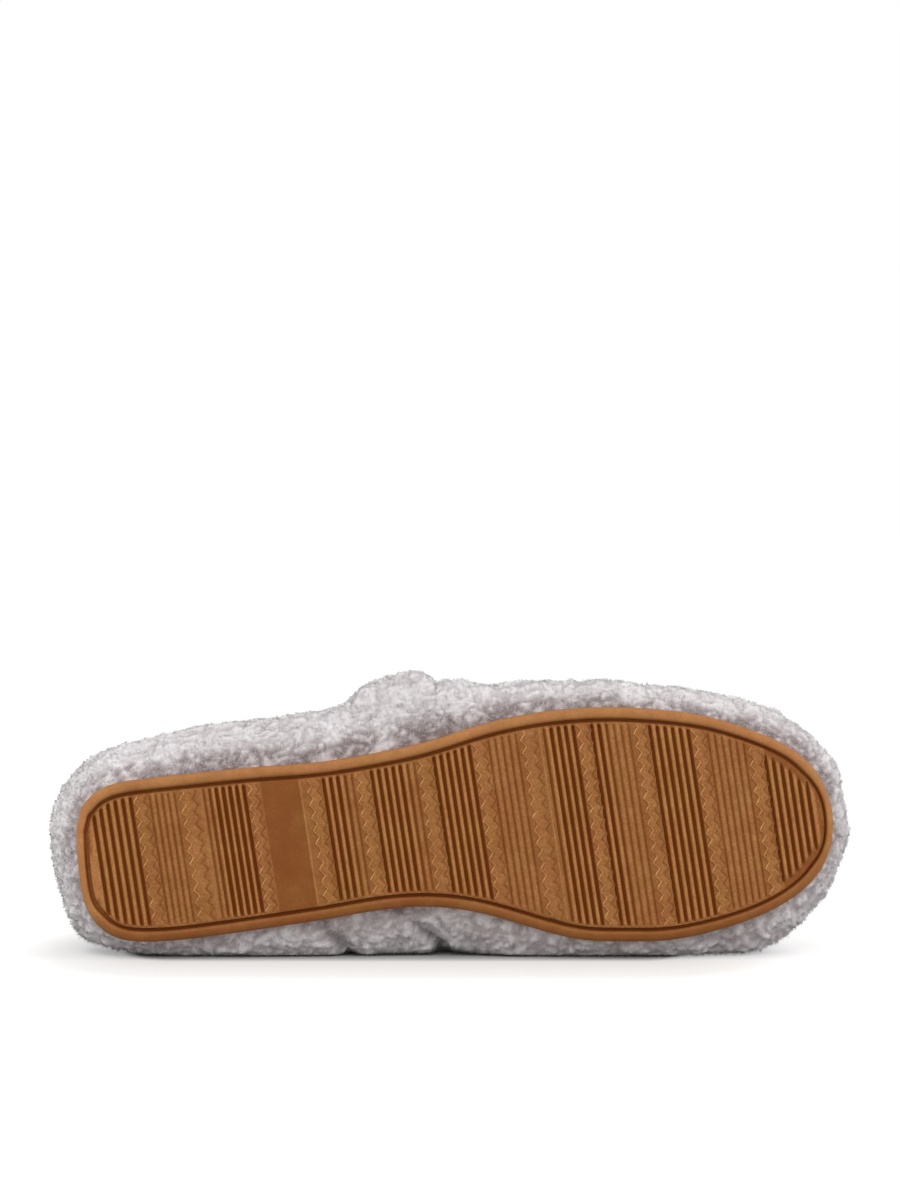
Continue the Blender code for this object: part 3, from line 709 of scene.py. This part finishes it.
warmth = add_node(tree, "ShaderNodeMapRange",
                  {"From Min": 0.3, "From Max": 0.7, "To Min": 0.495, "To Max": 0.504},
                  {"Value": blush.outputs["Fac"]})
tinted = add_node(tree, "ShaderNodeHueSaturation", {},
                  {"Hue": warmth.outputs[0], "Color": colours.outputs["Color"]})
tree.links.new(tinted.outputs["Color"], rubber.inputs["Base Color"])
bump_strength = add_node(tree, "ShaderNodeMath", {1: 0.35}, {0: grain_share}, operation="MULTIPLY")
bump = add_node(tree, "ShaderNodeBump", {"Distance": 0.12 * MM},
                {"Height": pebble.outputs["Fac"], "Strength": bump_strength.outputs[0]})
tree.links.new(bump.outputs["Normal"], rubber.inputs["Normal"])
gloss = add_node(tree, "ShaderNodeMapRange", {"To Min": 0.42, "To Max": 0.6},
                 {"Value": pebble.outputs["Fac"]})
tree.links.new(gloss.outputs[0], rubber.inputs["Roughness"])
rubber.inputs["IOR"].default_value = 1.5
rubber.inputs["Specular IOR Level"].default_value = 0.2
sole.data.materials.append(tan_rubber)
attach(sole, "root")
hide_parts("outsole")
print("tan rubber on", sole.name)

# %% [markdown]
# ## Sherpa, first its ground
#
# Sherpa is a knitted ground with wool-like fibres teased into soft puffs a few millimetres across. Flat
# bump can't give its lumpy edge against the white, so the ground is a real mesh. A copy of the packed
# solid is remeshed into an even skin, and its outside is then raised into puffs. The inside of the same
# skin stays smooth and becomes the lining.

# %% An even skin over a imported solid
SKIN_VOXEL = 1.68 * MM
FEATHER = 6.3                    # mm over the tread, where the upper meets the sole
LAST_HEEL = np.array([32.0, 0.0, 25.0])    # the two ends of a line inside the foot
LAST_TOE = np.array([212.0, 0.0, 19.0])
UPPER_SIDES = (-0.15, 0.3)       # cosines of a normal's turn from the foot: lining below, outside above
STRAP_SIDES = (-0.65, -0.25)     # the strap's edges belong to its outside


def nearest_on_last(shoe):
    """The nearest points on the line inside the foot."""
    span = LAST_TOE - LAST_HEEL
    share = np.clip((shoe - LAST_HEEL) @ span / (span @ span), 0.0, 1.0)
    return LAST_HEEL + share[:, None] * span


def outwardness(points, normals, sides):
    """From 0 on the lining to 1 on the outside, for points and normals in frame metres."""
    shoe, turned = to_shoe(points), normals @ AXES.T
    return smoothstep(*sides, (unit(shoe - nearest_on_last(shoe)) * turned).sum(1))


def even_skin(node, name):
    """A copy of the node as an even mesh with its facets smoothed away."""
    skin = merged_copy(node, name)
    apply_modifier(skin, "REMESH", mode="VOXEL", voxel_size=SKIN_VOXEL)
    apply_modifier(skin, "SMOOTH", factor=0.5, iterations=3)
    return skin


def over_feather(shoe):
    """Height in mm over the line where the upper meets the sole."""
    return shoe[:, 2] - rise(shoe[:, 0]) - FEATHER


upper = even_skin("upper", "upper_sherpa")
strap = even_skin("strap", "strap_sherpa")
print(f"skins of {len(upper.data.polygons)} and {len(strap.data.polygons)} faces")

# %% [markdown]
# ## How the soft upper lies
#
# A soft upper doesn't keep the clean lower line of its solid. Its margin is glued down on the sole, its
# pile hangs over the sole's side wall, and where the shoe lies on its side it sags to the floor and rounds
# out in front. These are small moves of the even skin, after which it is remeshed so that it stays even.

# %% Seat and sag
SEAT_DEPTH = 2.6                 # mm that the margin is drawn down, into the sole's top and over its wall
SEAT_IN = 3.2                    # mm that the margin is drawn in under the shoe
SEAT_REACH = 5.0                 # mm: above this height over the feather line nothing is drawn down
FLOOR_ROUND = 8.0                # the pile rounds down to the floor over this height from the feather line
FLOOR_REACH = (3.0, 18.0)        # mm: packed surface this near the floor sags to it, wholly to not at all
SAG_START, SAG_END = (0.0, 34.0), (150.0, 200.0)   # mm from the heel: it fades towards heel and toe
HEEL_SAG = 0.3                   # share of it that is left at the very heel
DOWNWARD = 0.6                   # only what looks down sags, wholly where a normal points down by this much
LINING_ROLL = (8.5, 4.5)         # mm that the lining rolls in over the footbed's edge, outer and inner side
ROLL_SPAN = (-15.0, 15.0)        # mm across the shoe, over which one turns into the other
ROLL_REACH = 10.0                # mm over the feather line
END_TUCK, END_REACH = 4.2, 12.0  # mm that the strap's ends sink into the pile beside them, and how far up
EDGE_TUCK, FREE_TUCK = 3.5, 1.2  # mm that its edges are thinned on the upper, and where it is free
FREE_FROM = (20.0, 34.0)         # mm over the feather line, between which it leaves the upper
STRAP_MIDDLE = (107.5, 99.0)     # mm from the heel, at its outer and at its inner end
STRAP_ENDS = (-45.0, 30.0)       # mm across the shoe, where those ends are
STRAP_HALF = 15.5                # half its width
STRAP_BACK, STRAP_FRONT = (0.74, 1.0), (0.35, 1.04)   # shares of that half over which its edges fall
FLOOR_GAP = 2.4                  # mm that the pile is lifted off the floor in front of the strap
GAP_START, GAP_END = (112.0, 115.5), (115.0, 144.0)   # mm from the heel


def strap_tuck(shoe):
    """How deep the strap's skin is tucked in: not at all along its middle, wholly at ends and edges."""
    middle = np.interp(shoe[:, 1], STRAP_ENDS, STRAP_MIDDLE)
    above = over_feather(shoe)
    share = (shoe[:, 0] - middle) / STRAP_HALF
    edge = smoothstep(*STRAP_BACK, -share) + smoothstep(*STRAP_FRONT, share)
    edge *= EDGE_TUCK + (FREE_TUCK - EDGE_TUCK) * smoothstep(*FREE_FROM, above)
    return np.maximum(edge, END_TUCK * (1.0 - smoothstep(0.0, END_REACH, above)))


def settle(skin, sides, tuck):
    """Moves a skin from its solid's clean form to the way the soft upper lies."""
    points, normals = get_points(skin.data), get_points(skin.data, "normal")
    shoe, out = to_shoe(points), outwardness(points, normals, sides)
    above = over_feather(shoe)
    margin = (1.0 - smoothstep(0.0, SEAT_REACH, above))[:, None]
    inward = unit(nearest_on_last(shoe)[:, :2] - shoe[:, :2]) @ AXES[:2]
    moved = points - (unit(shoe - nearest_on_last(shoe)) @ AXES) * np.reshape(tuck * MM, (-1, 1))
    moved += margin * MM * (SEAT_IN * inward - SEAT_DEPTH * AXES[2])
    roll = np.interp(shoe[:, 1], ROLL_SPAN, LINING_ROLL) * (1.0 - smoothstep(0.0, ROLL_REACH, above))
    moved += (roll * (1.0 - out) * MM)[:, None] * inward
    rounded = np.clip(above / FLOOR_ROUND, 0.0, 1.0)
    sag = np.sqrt(1.0 - (1.0 - rounded) ** 2) * (1.0 - smoothstep(*FLOOR_REACH, points[:, 2] / MM))
    sag *= HEEL_SAG + (1.0 - HEEL_SAG) * smoothstep(*SAG_START, shoe[:, 0])
    fall = PILE_BELOW + np.clip(points[:, 2], 0.0, None) * (1.0 - smoothstep(*SAG_END, shoe[:, 0]))
    fall -= FLOOR_GAP * MM * smoothstep(*GAP_START, shoe[:, 0]) * (1.0 - smoothstep(*GAP_END, shoe[:, 0]))
    moved[:, 2] -= fall * sag * out * smoothstep(0.0, DOWNWARD, -normals[:, 2])
    set_points(skin.data, moved)


own_tuck = strap_tuck(to_shoe(get_points(strap.data)))
for skin, sides, tuck in ((upper, UPPER_SIDES, 0.0), (strap, STRAP_SIDES, own_tuck)):
    settle(skin, sides, tuck)
    apply_modifier(skin, "REMESH", mode="VOXEL", voxel_size=SKIN_VOXEL)
    apply_modifier(skin, "SMOOTH", factor=0.5, iterations=2)
print(f"settled skins of {len(upper.data.polygons)} and {len(strap.data.polygons)} faces")


# %% A finer outside for the puffs
def make_finer_outside(skin, sides):
    """Cuts each outer face of a skin into four."""
    out = outwardness(get_points(skin.data), get_points(skin.data, "normal"), sides) > 0.5
    outer = [bool(out[list(face.vertices)].any()) for face in skin.data.polygons]
    pick(skin)
    bpy.ops.object.mode_set(mode="EDIT")
    bpy.context.tool_settings.mesh_select_mode = (False, False, True)
    bpy.ops.mesh.select_all(action="DESELECT")
    bpy.ops.object.mode_set(mode="OBJECT")
    skin.data.polygons.foreach_set("select", outer)
    bpy.ops.object.mode_set(mode="EDIT")
    bpy.ops.mesh.subdivide(number_cuts=1)
    bpy.ops.object.mode_set(mode="OBJECT")
    apply_modifier(skin, "SMOOTH", factor=0.5, iterations=3)


make_finer_outside(upper, UPPER_SIDES)
make_finer_outside(strap, STRAP_SIDES)
print(f"finer skins of {len(upper.data.polygons)} and {len(strap.data.polygons)} faces")

# %% [markdown]
# ## Puffs and folds
#
# The absolute value of a smooth noise gives round puffs with sharp creases between them, as on a cloud.
# Three sizes are added: lumps, the tufts on them, and curls. The folds that the photograph shows beside
# the strap are placed one by one as soft troughs, and the floor presses the puffs flat that reach it.

# %% Puffs from folded noise
Puff = namedtuple("Puff", "size height shift")
PUFFS = (Puff(9.0, 1.1, 3.1), Puff(3.9, 1.5, 17.4), Puff(2.1, 1.5, 41.9))
PILE_BASE = 0.2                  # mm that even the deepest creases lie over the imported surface
CROWN_HEIGHT = 1.8               # mm over it where a puff counts as a full crown
CREASE_SOFT = 0.08               # rounds the creases, in the noise's own height
STRAY_SIZE, STRAY = 8.0, 1.8     # mm: places are led astray by this much, so that no puff is like the next
noise.seed_set(3)                # without a seed the vectors that lead them astray differ in each run


def puff_height(shoe):
    """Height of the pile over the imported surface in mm, and 0 to 1 from its creases to its crowns."""
    stray = STRAY * np.array([noise.noise_vector(place) for place in shoe / STRAY_SIZE])
    total = np.full(len(shoe), PILE_BASE)
    for puff in PUFFS:
        wave = np.array([noise.noise(place) for place in (shoe + stray) / puff.size + puff.shift])
        total += puff.height * (np.sqrt(wave ** 2 + CREASE_SOFT ** 2) - CREASE_SOFT)
    return total, smoothstep(PILE_BASE, CROWN_HEIGHT, total)


print("puffs of", ", ".join(f"{puff.size} mm" for puff in PUFFS))

# %% Folds placed one by one
Fold = namedtuple("Fold", "side foot_x top_x reach depth width slant")
FOLDS = (
    Fold(-1, 88.0, 91.0, 70.0, -0.4, 5.0, 0.0),    # the pile climbs to the strap, outer side
    Fold(-1, 122.0, 122.0, 70.0, -1.4, 5.5, 0.0),  # and falls away slowly in front of it
    Fold(-1, 142.0, 134.0, 34.0, 1.0, 4.5, 0.0),   # where the vamp flexes, outer side
    Fold(1, 81.0, 84.0, 60.0, 2.8, 2.4, 0.68),     # behind the strap, inner side
    Fold(1, 110.0, 116.0, 60.0, 3.0, 2.6, 0.98),   # in front of the strap, inner side
    Fold(-1, 24.0, 18.0, 40.0, 0.8, 6.0, 0.0),     # round the heel
    Fold(-1, 60.0, 66.0, 34.0, 0.8, 7.0, 0.0),     # along the outer quarter
    Fold(-1, 196.0, 188.0, 36.0, 0.9, 6.0, 0.0),   # over the ball
    Fold(1, 205.0, 198.0, 34.0, 0.9, 6.0, 0.0),
)
SLANT_FROM = 32.0                # mm from the middle line, where a slanted fold has its stated place
FOLD_FADE = (0.8, 1.1)           # shares of its reach over which a fold runs out
FOLDS_FROM = 8.0                 # mm from the middle line: nearer to it there are no folds


def fold_depth(shoe):
    """Depth in mm of the folds that run from the sole up towards the instep, below zero for ridges."""
    total = np.zeros(len(shoe))
    for fold in FOLDS:
        share = np.clip(shoe[:, 2] / fold.reach, 0.0, 1.0)
        middle = fold.foot_x + (fold.top_x - fold.foot_x) * share
        middle += fold.slant * (np.abs(shoe[:, 1]) - SLANT_FROM)
        trough = np.exp(-((shoe[:, 0] - middle) / fold.width) ** 2)
        fade = 1.0 - smoothstep(*FOLD_FADE, shoe[:, 2] / fold.reach)
        here = shoe[:, 1] * fold.side > FOLDS_FROM
        total += np.where(here, fold.depth * trough * fade, 0.0)
    return total


print(f"{len(FOLDS)} folds")

# %% Raise the pile
PILE_FOOT = (-2.5, 1.5)          # mm over the feather line, between which the pile rises to its full height
FLOOR_CLEAR = 0.3 * MM           # what is pressed flat stays this far over the floor
PRESSED_SHARE = 0.25             # and puffs keep this share of their height there
CREASE_TONE, CROWN_PAINTED_LIGHT = 0.3, 0.38   # painted shade and light: how light creases are, and how much lighter the crowns
FOLD_SHADE = 0.06                # painted shade: how much darker a fold is for each mm of its depth
SOLE_SHADE, CROWN_LIGHTER = 0.46, 0.24   # painted shade: how much darker the pile is beside the sole, and its crowns less so
SOLE_SHADE_REACH = 4.2           # mm over the feather line that this shade reaches
INNER_LIGHTER, INNER_FROM = 0.55, 20.0   # share of that painted shade that the inner side lacks, where the floor lights it, wholly so many mm from the middle
LINE_SHADE, LINE_HEIGHT = 0.05, (-2.0, 0.5)   # painted shade: how much darker a line at the sole is, and where it fades
PILE_HEEL_PAINTED_LIGHT, HEEL_REACH = 0.14, 50.0   # painted light: how much paler the pile is round the heel, and how far along, in mm
LINING_TONE = 0.55


def sole_shade(shoe):
    """From 0 to 1, how much darker the pile is beside the sole, a painted shade."""
    near_sole = 1.0 - smoothstep(0.0, SOLE_SHADE_REACH, over_feather(shoe))
    return near_sole * (1.0 - INNER_LIGHTER * smoothstep(0.0, INNER_FROM, shoe[:, 1]))


def raise_pile(skin, sides, swell):
    """Raises the outside of a skin into pile and stores how light each point is."""
    points, normals = get_points(skin.data), get_points(skin.data, "normal")
    shoe, out = to_shoe(points), outwardness(points, normals, sides)
    above = over_feather(shoe)
    puffs, crown = puff_height(shoe)
    folds = fold_depth(shoe)
    fullness = smoothstep(*PILE_FOOT, above)
    moved = points + normals * (out * fullness * (puffs + swell - folds))[:, None] * MM
    lowest = FLOOR + FLOOR_CLEAR + PRESSED_SHARE * MM * np.clip(puffs, 0.0, None)
    moved[:, 2] = np.maximum(moved[:, 2], lowest)
    set_points(skin.data, moved)
    # painted light on crowns and round the heel, painted shade in creases, folds, beside the sole and along
    # it
    shade = CREASE_TONE + CROWN_PAINTED_LIGHT * crown - FOLD_SHADE * np.clip(folds, 0.0, None)
    shade -= (SOLE_SHADE - CROWN_LIGHTER * crown) * sole_shade(shoe)
    shade -= LINE_SHADE * (1.0 - smoothstep(*LINE_HEIGHT, above))
    shade += PILE_HEEL_PAINTED_LIGHT * (1.0 - smoothstep(0.0, HEEL_REACH, shoe[:, 0]))
    set_attribute(skin.data, "shade", np.where(out > 0.5, shade, LINING_TONE))
    set_attribute(skin.data, "outside", out)


STRAP_SWELL = -0.6               # mm: the strap's pile is a little shorter than the upper's
for skin, sides, swell in ((upper, UPPER_SIDES, 0.0), (strap, STRAP_SIDES, STRAP_SWELL)):
    raise_pile(skin, sides, swell)
    pick(skin)
    bpy.ops.object.shade_smooth()
print("pile raised, lowest point", f"{get_points(upper.data)[:, 2].min() / MM:.1f} mm")

# %% [markdown]
# ## Sherpa, then its fibres
#
# Tens of thousands of short curled fibres stand on the puffs and make the soft, broken edge. Hair curves
# would not survive an export, so each fibre is a thin three-sided tube of ten triangles, bent once, and all
# fibres of a region are one joined mesh, worked out with arrays. They lean every way, as teased wool does.

# %% Scatter points on a skin
PILE_FROM = -1.6                 # mm over the feather line: no fibres grow lower
THICK_UNDER, THICKER = 24.0, 1.5     # below this height they stand thicker by this factor
PRESSED_UNDER, PRESSED_FIBRES = 0.6 * MM, 0.1   # this near the floor only this share of them grows


def pile_weight(places, normals, sides):
    """How thick fibres stand: none on the lining or the sole, few on the floor, most near the sole."""
    shoe = to_shoe(places)
    above = over_feather(shoe)
    pressed = places[:, 2] < FLOOR + PRESSED_UNDER
    thick = np.where(above < THICK_UNDER, THICKER, 1.0)
    grows = (outwardness(places, normals, sides) > 0.5) * (above > PILE_FROM)
    return grows * thick * np.where(pressed, PRESSED_FIBRES, 1.0)


def scatter(mesh, sides, count, rng):
    """Random points on the outside of a mesh, with their normals."""
    mesh.calc_loop_triangles()
    corners = np.empty(len(mesh.loop_triangles) * 3, np.int32)
    mesh.loop_triangles.foreach_get("vertices", corners)
    corners = corners.reshape(-1, 3)
    points, normals = get_points(mesh), get_points(mesh, "normal")
    a, b, c = (points[corners[:, i]] for i in range(3))
    area = np.linalg.norm(np.cross(b - a, c - a), axis=1)
    area *= pile_weight((a + b + c) / 3, normals[corners].mean(1), sides)
    chosen = rng.choice(len(corners), count, p=area / area.sum())
    u, v = rng.random((2, count, 1))
    u, v = np.where(u + v > 1, 1 - u, u), np.where(u + v > 1, 1 - v, v)
    share = np.hstack([1 - u - v, u, v])[:, :, None]
    return (points[corners[chosen]] * share).sum(1), unit((normals[corners[chosen]] * share).sum(1))


print(f"fibres stand {THICKER} times as thick below {THICK_UNDER:.0f} mm over the sole")

# %% Fibres as joined tubes
FIBRE_LENGTH, LENGTHS = 1.5 * MM, (0.6, 1.35)   # a fibre's length, and the factors by which it varies
FIBRE_ROOT, FIBRE_MIDDLE = 0.08 * MM, 0.06 * MM    # radii, some four times a real fibre's, so that they show
ROOT_SINK = 0.2                  # mm that a fibre starts below the surface
LEAN = 1.1                       # a fibre's random lean against its normal
BEND_AT, TIP_AT = 0.5, 0.92      # shares of a fibre's length where it bends and where the curl leaves its tip
BEND = 0.5 * MM
BENDS, RETURNS = (0.3, 1.0), (0.0, 0.9)   # factors of that bend to one side, and of the tip's way back
TIP_CLEAR = 0.05 * MM            # no fibre comes nearer to the floor
FIBRE_TONE, FIBRE_SHADE = 0.46, 0.28   # how light a root is, and how much darker beside the sole, a painted shade
FIBRE_TONES = (-0.3, 0.25)       # each differs by a number between these
TONE_ALONG = (0.0, 0.15, 0.3)    # painted shade at the root: how much lighter root, bend and tip are


def fibre_mesh(name, roots, normals, rng):
    """One mesh of bent, tapering tubes that grow from the roots."""
    count = len(roots)
    lean = unit(normals + LEAN * unit(rng.normal(size=(count, 3))))
    aside = unit(np.cross(lean, rng.normal(size=(count, 3))))
    third = np.cross(lean, aside)
    long = FIBRE_LENGTH * rng.uniform(*LENGTHS, (count, 1))
    middle = roots + lean * long * BEND_AT + aside * BEND * rng.uniform(*BENDS, (count, 1))
    tip = roots + lean * long * TIP_AT - aside * BEND * rng.uniform(*RETURNS, (count, 1))
    vertices = np.empty((count, 7, 3))   # three round the root, three round the bend and the tip
    for corner in range(3):
        angle = 2 * math.pi * corner / 3
        spoke = aside * math.cos(angle) + third * math.sin(angle)
        vertices[:, corner] = roots - normals * ROOT_SINK * MM + spoke * FIBRE_ROOT
        vertices[:, 3 + corner] = middle + spoke * FIBRE_MIDDLE
    vertices[:, 6] = tip
    vertices[:, :, 2] = np.maximum(vertices[:, :, 2], FLOOR + TIP_CLEAR)
    tube = [(2, 1, 0)]
    for k in range(3):
        after = (k + 1) % 3
        tube += [(k, after, after + 3), (k, after + 3, k + 3), (k + 3, after + 3, 6)]
    faces = (np.arange(count)[:, None, None] * 7 + np.array(tube)[None]).reshape(-1, 3)
    mesh = bpy.data.meshes.new(name)
    mesh.from_pydata(vertices.reshape(-1, 3), [], faces)
    mesh.polygons.foreach_set("use_smooth", np.ones(len(mesh.polygons), bool))
    mesh.update()
    mesh.normals_split_custom_set_from_vertices(np.repeat(normals, 7, axis=0))
    obj = bpy.data.objects.new(name, mesh)
    bpy.context.scene.collection.objects.link(obj)
    return obj


def shade_fibres(pile, rng):
    """Stores how light each fibre is: painted shade beside the sole and at its root, paler to its tip, each a
    little different.
    """
    roots = get_points(pile.data).reshape(-1, 7, 3)[:, :3].mean(1)
    own = FIBRE_TONE - FIBRE_SHADE * sole_shade(to_shoe(roots)) + rng.uniform(*FIBRE_TONES, len(roots))
    along = np.repeat(TONE_ALONG, (3, 3, 1))
    set_attribute(pile.data, "shade", (own[:, None] + along[None]).ravel())


print("fibre maker ready")

# %% Grow the pile
UPPER_FIBRES, STRAP_FIBRES = 44000, 10000
REGIONS = (("pile_heel", -20.0, 75.0), ("pile_quarters", 75.0, 155.0), ("pile_vamp", 155.0, 260.0))
HIDDEN_BY_STRAP = 14.0 * MM      # no fibres grow where the strap lies over the upper within this distance

rng = np.random.default_rng(21)
piles = []
roots, root_normals = scatter(upper.data, UPPER_SIDES, UPPER_FIBRES, rng)
strap_faces = [face.vertices for face in strap.data.polygons]
strap_tree = BVHTree.FromPolygons([vertex.co for vertex in strap.data.vertices], strap_faces)
covered = np.array([strap_tree.ray_cast(Vector(root), Vector(normal), HIDDEN_BY_STRAP)[0] is not None
                    for root, normal in zip(roots, root_normals)])
roots, root_normals = roots[~covered], root_normals[~covered]
along = to_shoe(roots)[:, 0]
for name, start, end in REGIONS:
    here = (along >= start) & (along < end)
    piles.append(fibre_mesh(name, roots[here], root_normals[here], rng))
roots, root_normals = scatter(strap.data, STRAP_SIDES, STRAP_FIBRES, rng)
piles.append(fibre_mesh("pile_strap", roots, root_normals, rng))
for pile in piles:
    shade_fibres(pile, rng)
print("piles:", {pile.name: len(pile.data.polygons) for pile in piles})

# %% [markdown]
# ## Grey sherpa wool
#
# The pile is a polyester sherpa in a pale warm grey. It scatters light between its fibres, so it is matt
# and soft. It is painted paler on the crowns, a painted light, and a darker, purplish grey down in the
# creases and beside the sole, a painted shade. A soft sheen stands for the finest fibres. The lining inside
# is the same yarn, brushed short.

# %% Material of the pile
CURL_SIZE = 1.1                  # mm across one curl of the wool
PATCH_SIZE = 9.0                 # mm across a paler or darker patch

sherpa_wool, tree, wool = new_material("grey_sherpa_wool")
place = add_node(tree, "ShaderNodeTexCoord").outputs["Object"]
shade = add_node(tree, "ShaderNodeAttribute", attribute_name="shade").outputs["Fac"]
patch = add_node(tree, "ShaderNodeTexNoise", {"Scale": 1 / (PATCH_SIZE * MM), "Detail": 4.0},
                 {"Vector": place})
curls = add_node(tree, "ShaderNodeTexNoise",
                 {"Scale": 1 / (CURL_SIZE * MM), "Detail": 4.0, "Roughness": 0.7}, {"Vector": place})
curly = add_node(tree, "ShaderNodeMapRange", {"To Min": -0.2, "To Max": 0.2},
                 {"Value": curls.outputs["Fac"]})
speckled = add_node(tree, "ShaderNodeMath", {}, {0: shade, 1: curly.outputs[0]}, operation="ADD")
mixed = add_node(tree, "ShaderNodeMath", {1: 0.3}, {0: patch.outputs["Fac"], 2: speckled.outputs[0]},
                 operation="MULTIPLY_ADD")
colours = add_node(tree, "ShaderNodeValToRGB", {}, {"Fac": mixed.outputs[0]})
colours.color_ramp.elements[0].color = linear("#7F7270")
colours.color_ramp.elements[1].color = linear("#F0ECED")
for at, hex_code in ((0.3, "#B4A9AA"), (0.62, "#DBD5D6")):
    colours.color_ramp.elements.new(at).color = linear(hex_code)
tree.links.new(colours.outputs["Color"], wool.inputs["Base Color"])
bump = add_node(tree, "ShaderNodeBump", {"Distance": 0.7 * MM, "Strength": 0.6},
                {"Height": curls.outputs["Fac"]})
tree.links.new(bump.outputs["Normal"], wool.inputs["Normal"])
wool.inputs["Roughness"].default_value = 0.95
wool.inputs["Specular IOR Level"].default_value = 0.1
wool.inputs["Sheen Weight"].default_value = 0.35
wool.inputs["Sheen Roughness"].default_value = 0.6
print("wool ready:", sherpa_wool.name)

# %% Material of the lining and the footbed
NAP_SIZE = 0.6                   # mm across one nub of the short nap
WORN_SIZE = 6.0                  # mm across one of its paler or darker patches

short_fleece, tree, fleece = new_material("grey_short_fleece")   # brushed short: flatter and a shade darker
place = add_node(tree, "ShaderNodeTexCoord").outputs["Object"]
patch = add_node(tree, "ShaderNodeTexNoise", {"Scale": 1 / (WORN_SIZE * MM), "Detail": 4.0},
                 {"Vector": place})
nap = add_node(tree, "ShaderNodeTexVoronoi", {"Scale": 1 / (2 * NAP_SIZE * MM)}, {"Vector": place})
nubs = add_node(tree, "ShaderNodeMath", {1: -0.4}, {0: nap.outputs["Distance"], 2: patch.outputs["Fac"]},
                operation="MULTIPLY_ADD")
colours = add_node(tree, "ShaderNodeValToRGB", {}, {"Fac": nubs.outputs[0]})
colours.color_ramp.elements[0].color = linear("#A59B9D")
colours.color_ramp.elements[1].color = linear("#DAD4D5")
colours.color_ramp.elements[1].position = 0.7
tree.links.new(colours.outputs["Color"], fleece.inputs["Base Color"])
bump = add_node(tree, "ShaderNodeBump", {"Distance": 0.35 * MM, "Strength": 0.7},
                {"Height": nubs.outputs[0]})
tree.links.new(bump.outputs["Normal"], fleece.inputs["Normal"])
fleece.inputs["Roughness"].default_value = 0.95
fleece.inputs["Specular IOR Level"].default_value = 0.1
fleece.inputs["Sheen Weight"].default_value = 0.25
fleece.inputs["Sheen Roughness"].default_value = 0.6
print("fleece ready:", short_fleece.name)

# %% Dress the upper, the strap and their pile
LINING_UNDER = 0.3               # faces whose corners are less outside than this are lining
for skin in (upper, strap):
    skin.data.materials.append(sherpa_wool)
    skin.data.materials.append(short_fleece)
    out = get_attribute(skin.data, "outside")
    inner = [int(out[list(face.vertices)].mean() < LINING_UNDER) for face in skin.data.polygons]
    skin.data.polygons.foreach_set("material_index", inner)
for pile in piles:
    pile.data.materials.append(sherpa_wool)
for obj in (upper, strap, *piles):
    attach(obj, "root")
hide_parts("upper")
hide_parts("strap")
print("sherpa on", ", ".join(obj.name for obj in (upper, strap, *piles)))

# %% [markdown]
# ## The footbed
#
# The insole is a thin foam pad under short fleece, crowned in the middle and soft at its edge. It starts as
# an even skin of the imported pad, a little smaller, and Blender's cloth blows it up from inside. How far a
# point may move is capped, so the pad keeps its place between sole and upper.

# %% Blow the pad up
PAD_VOXEL = 2.2 * MM
PAD_SHRINK = 0.5 * MM            # the pad starts smaller by this much
PAD_RISE, PAD_SPREAD = 1.4 * MM, 1.0 * MM   # the most that a point moves up and aside
PAD_PRESSURE = 4.0
PAD_FRAMES = 16

footbed = merged_copy("insole", "footbed_pad")
apply_modifier(footbed, "REMESH", mode="VOXEL", voxel_size=PAD_VOXEL)
apply_modifier(footbed, "SMOOTH", factor=0.5, iterations=3)
start = get_points(footbed.data) - get_points(footbed.data, "normal") * PAD_SHRINK
set_points(footbed.data, start)
blown = footbed.modifiers.new("Cloth", "CLOTH")
blown.settings.use_pressure = True
blown.settings.uniform_pressure_force = PAD_PRESSURE
blown.settings.effector_weights.gravity = 0.0
for number in range(1, PAD_FRAMES + 1):
    bpy.context.scene.frame_set(number)
pick(footbed)
bpy.ops.object.modifier_apply(modifier=blown.name)
bpy.context.scene.frame_set(1)
moved = (get_points(footbed.data) - start) @ AXES.T
moved[:, :2] = np.clip(moved[:, :2], -PAD_SPREAD, PAD_SPREAD)
moved[:, 2] = np.clip(moved[:, 2], -PAD_SHRINK, PAD_RISE)
set_points(footbed.data, start + moved @ AXES)
apply_modifier(footbed, "SMOOTH", factor=0.5, iterations=2)
apply_modifier(footbed, "SUBSURF", levels=1, render_levels=1)
pick(footbed)
bpy.ops.object.shade_smooth()
footbed.data.materials.append(short_fleece)
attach(footbed, "root")
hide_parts("insole")
print(f"footbed of {len(footbed.data.polygons)} faces")
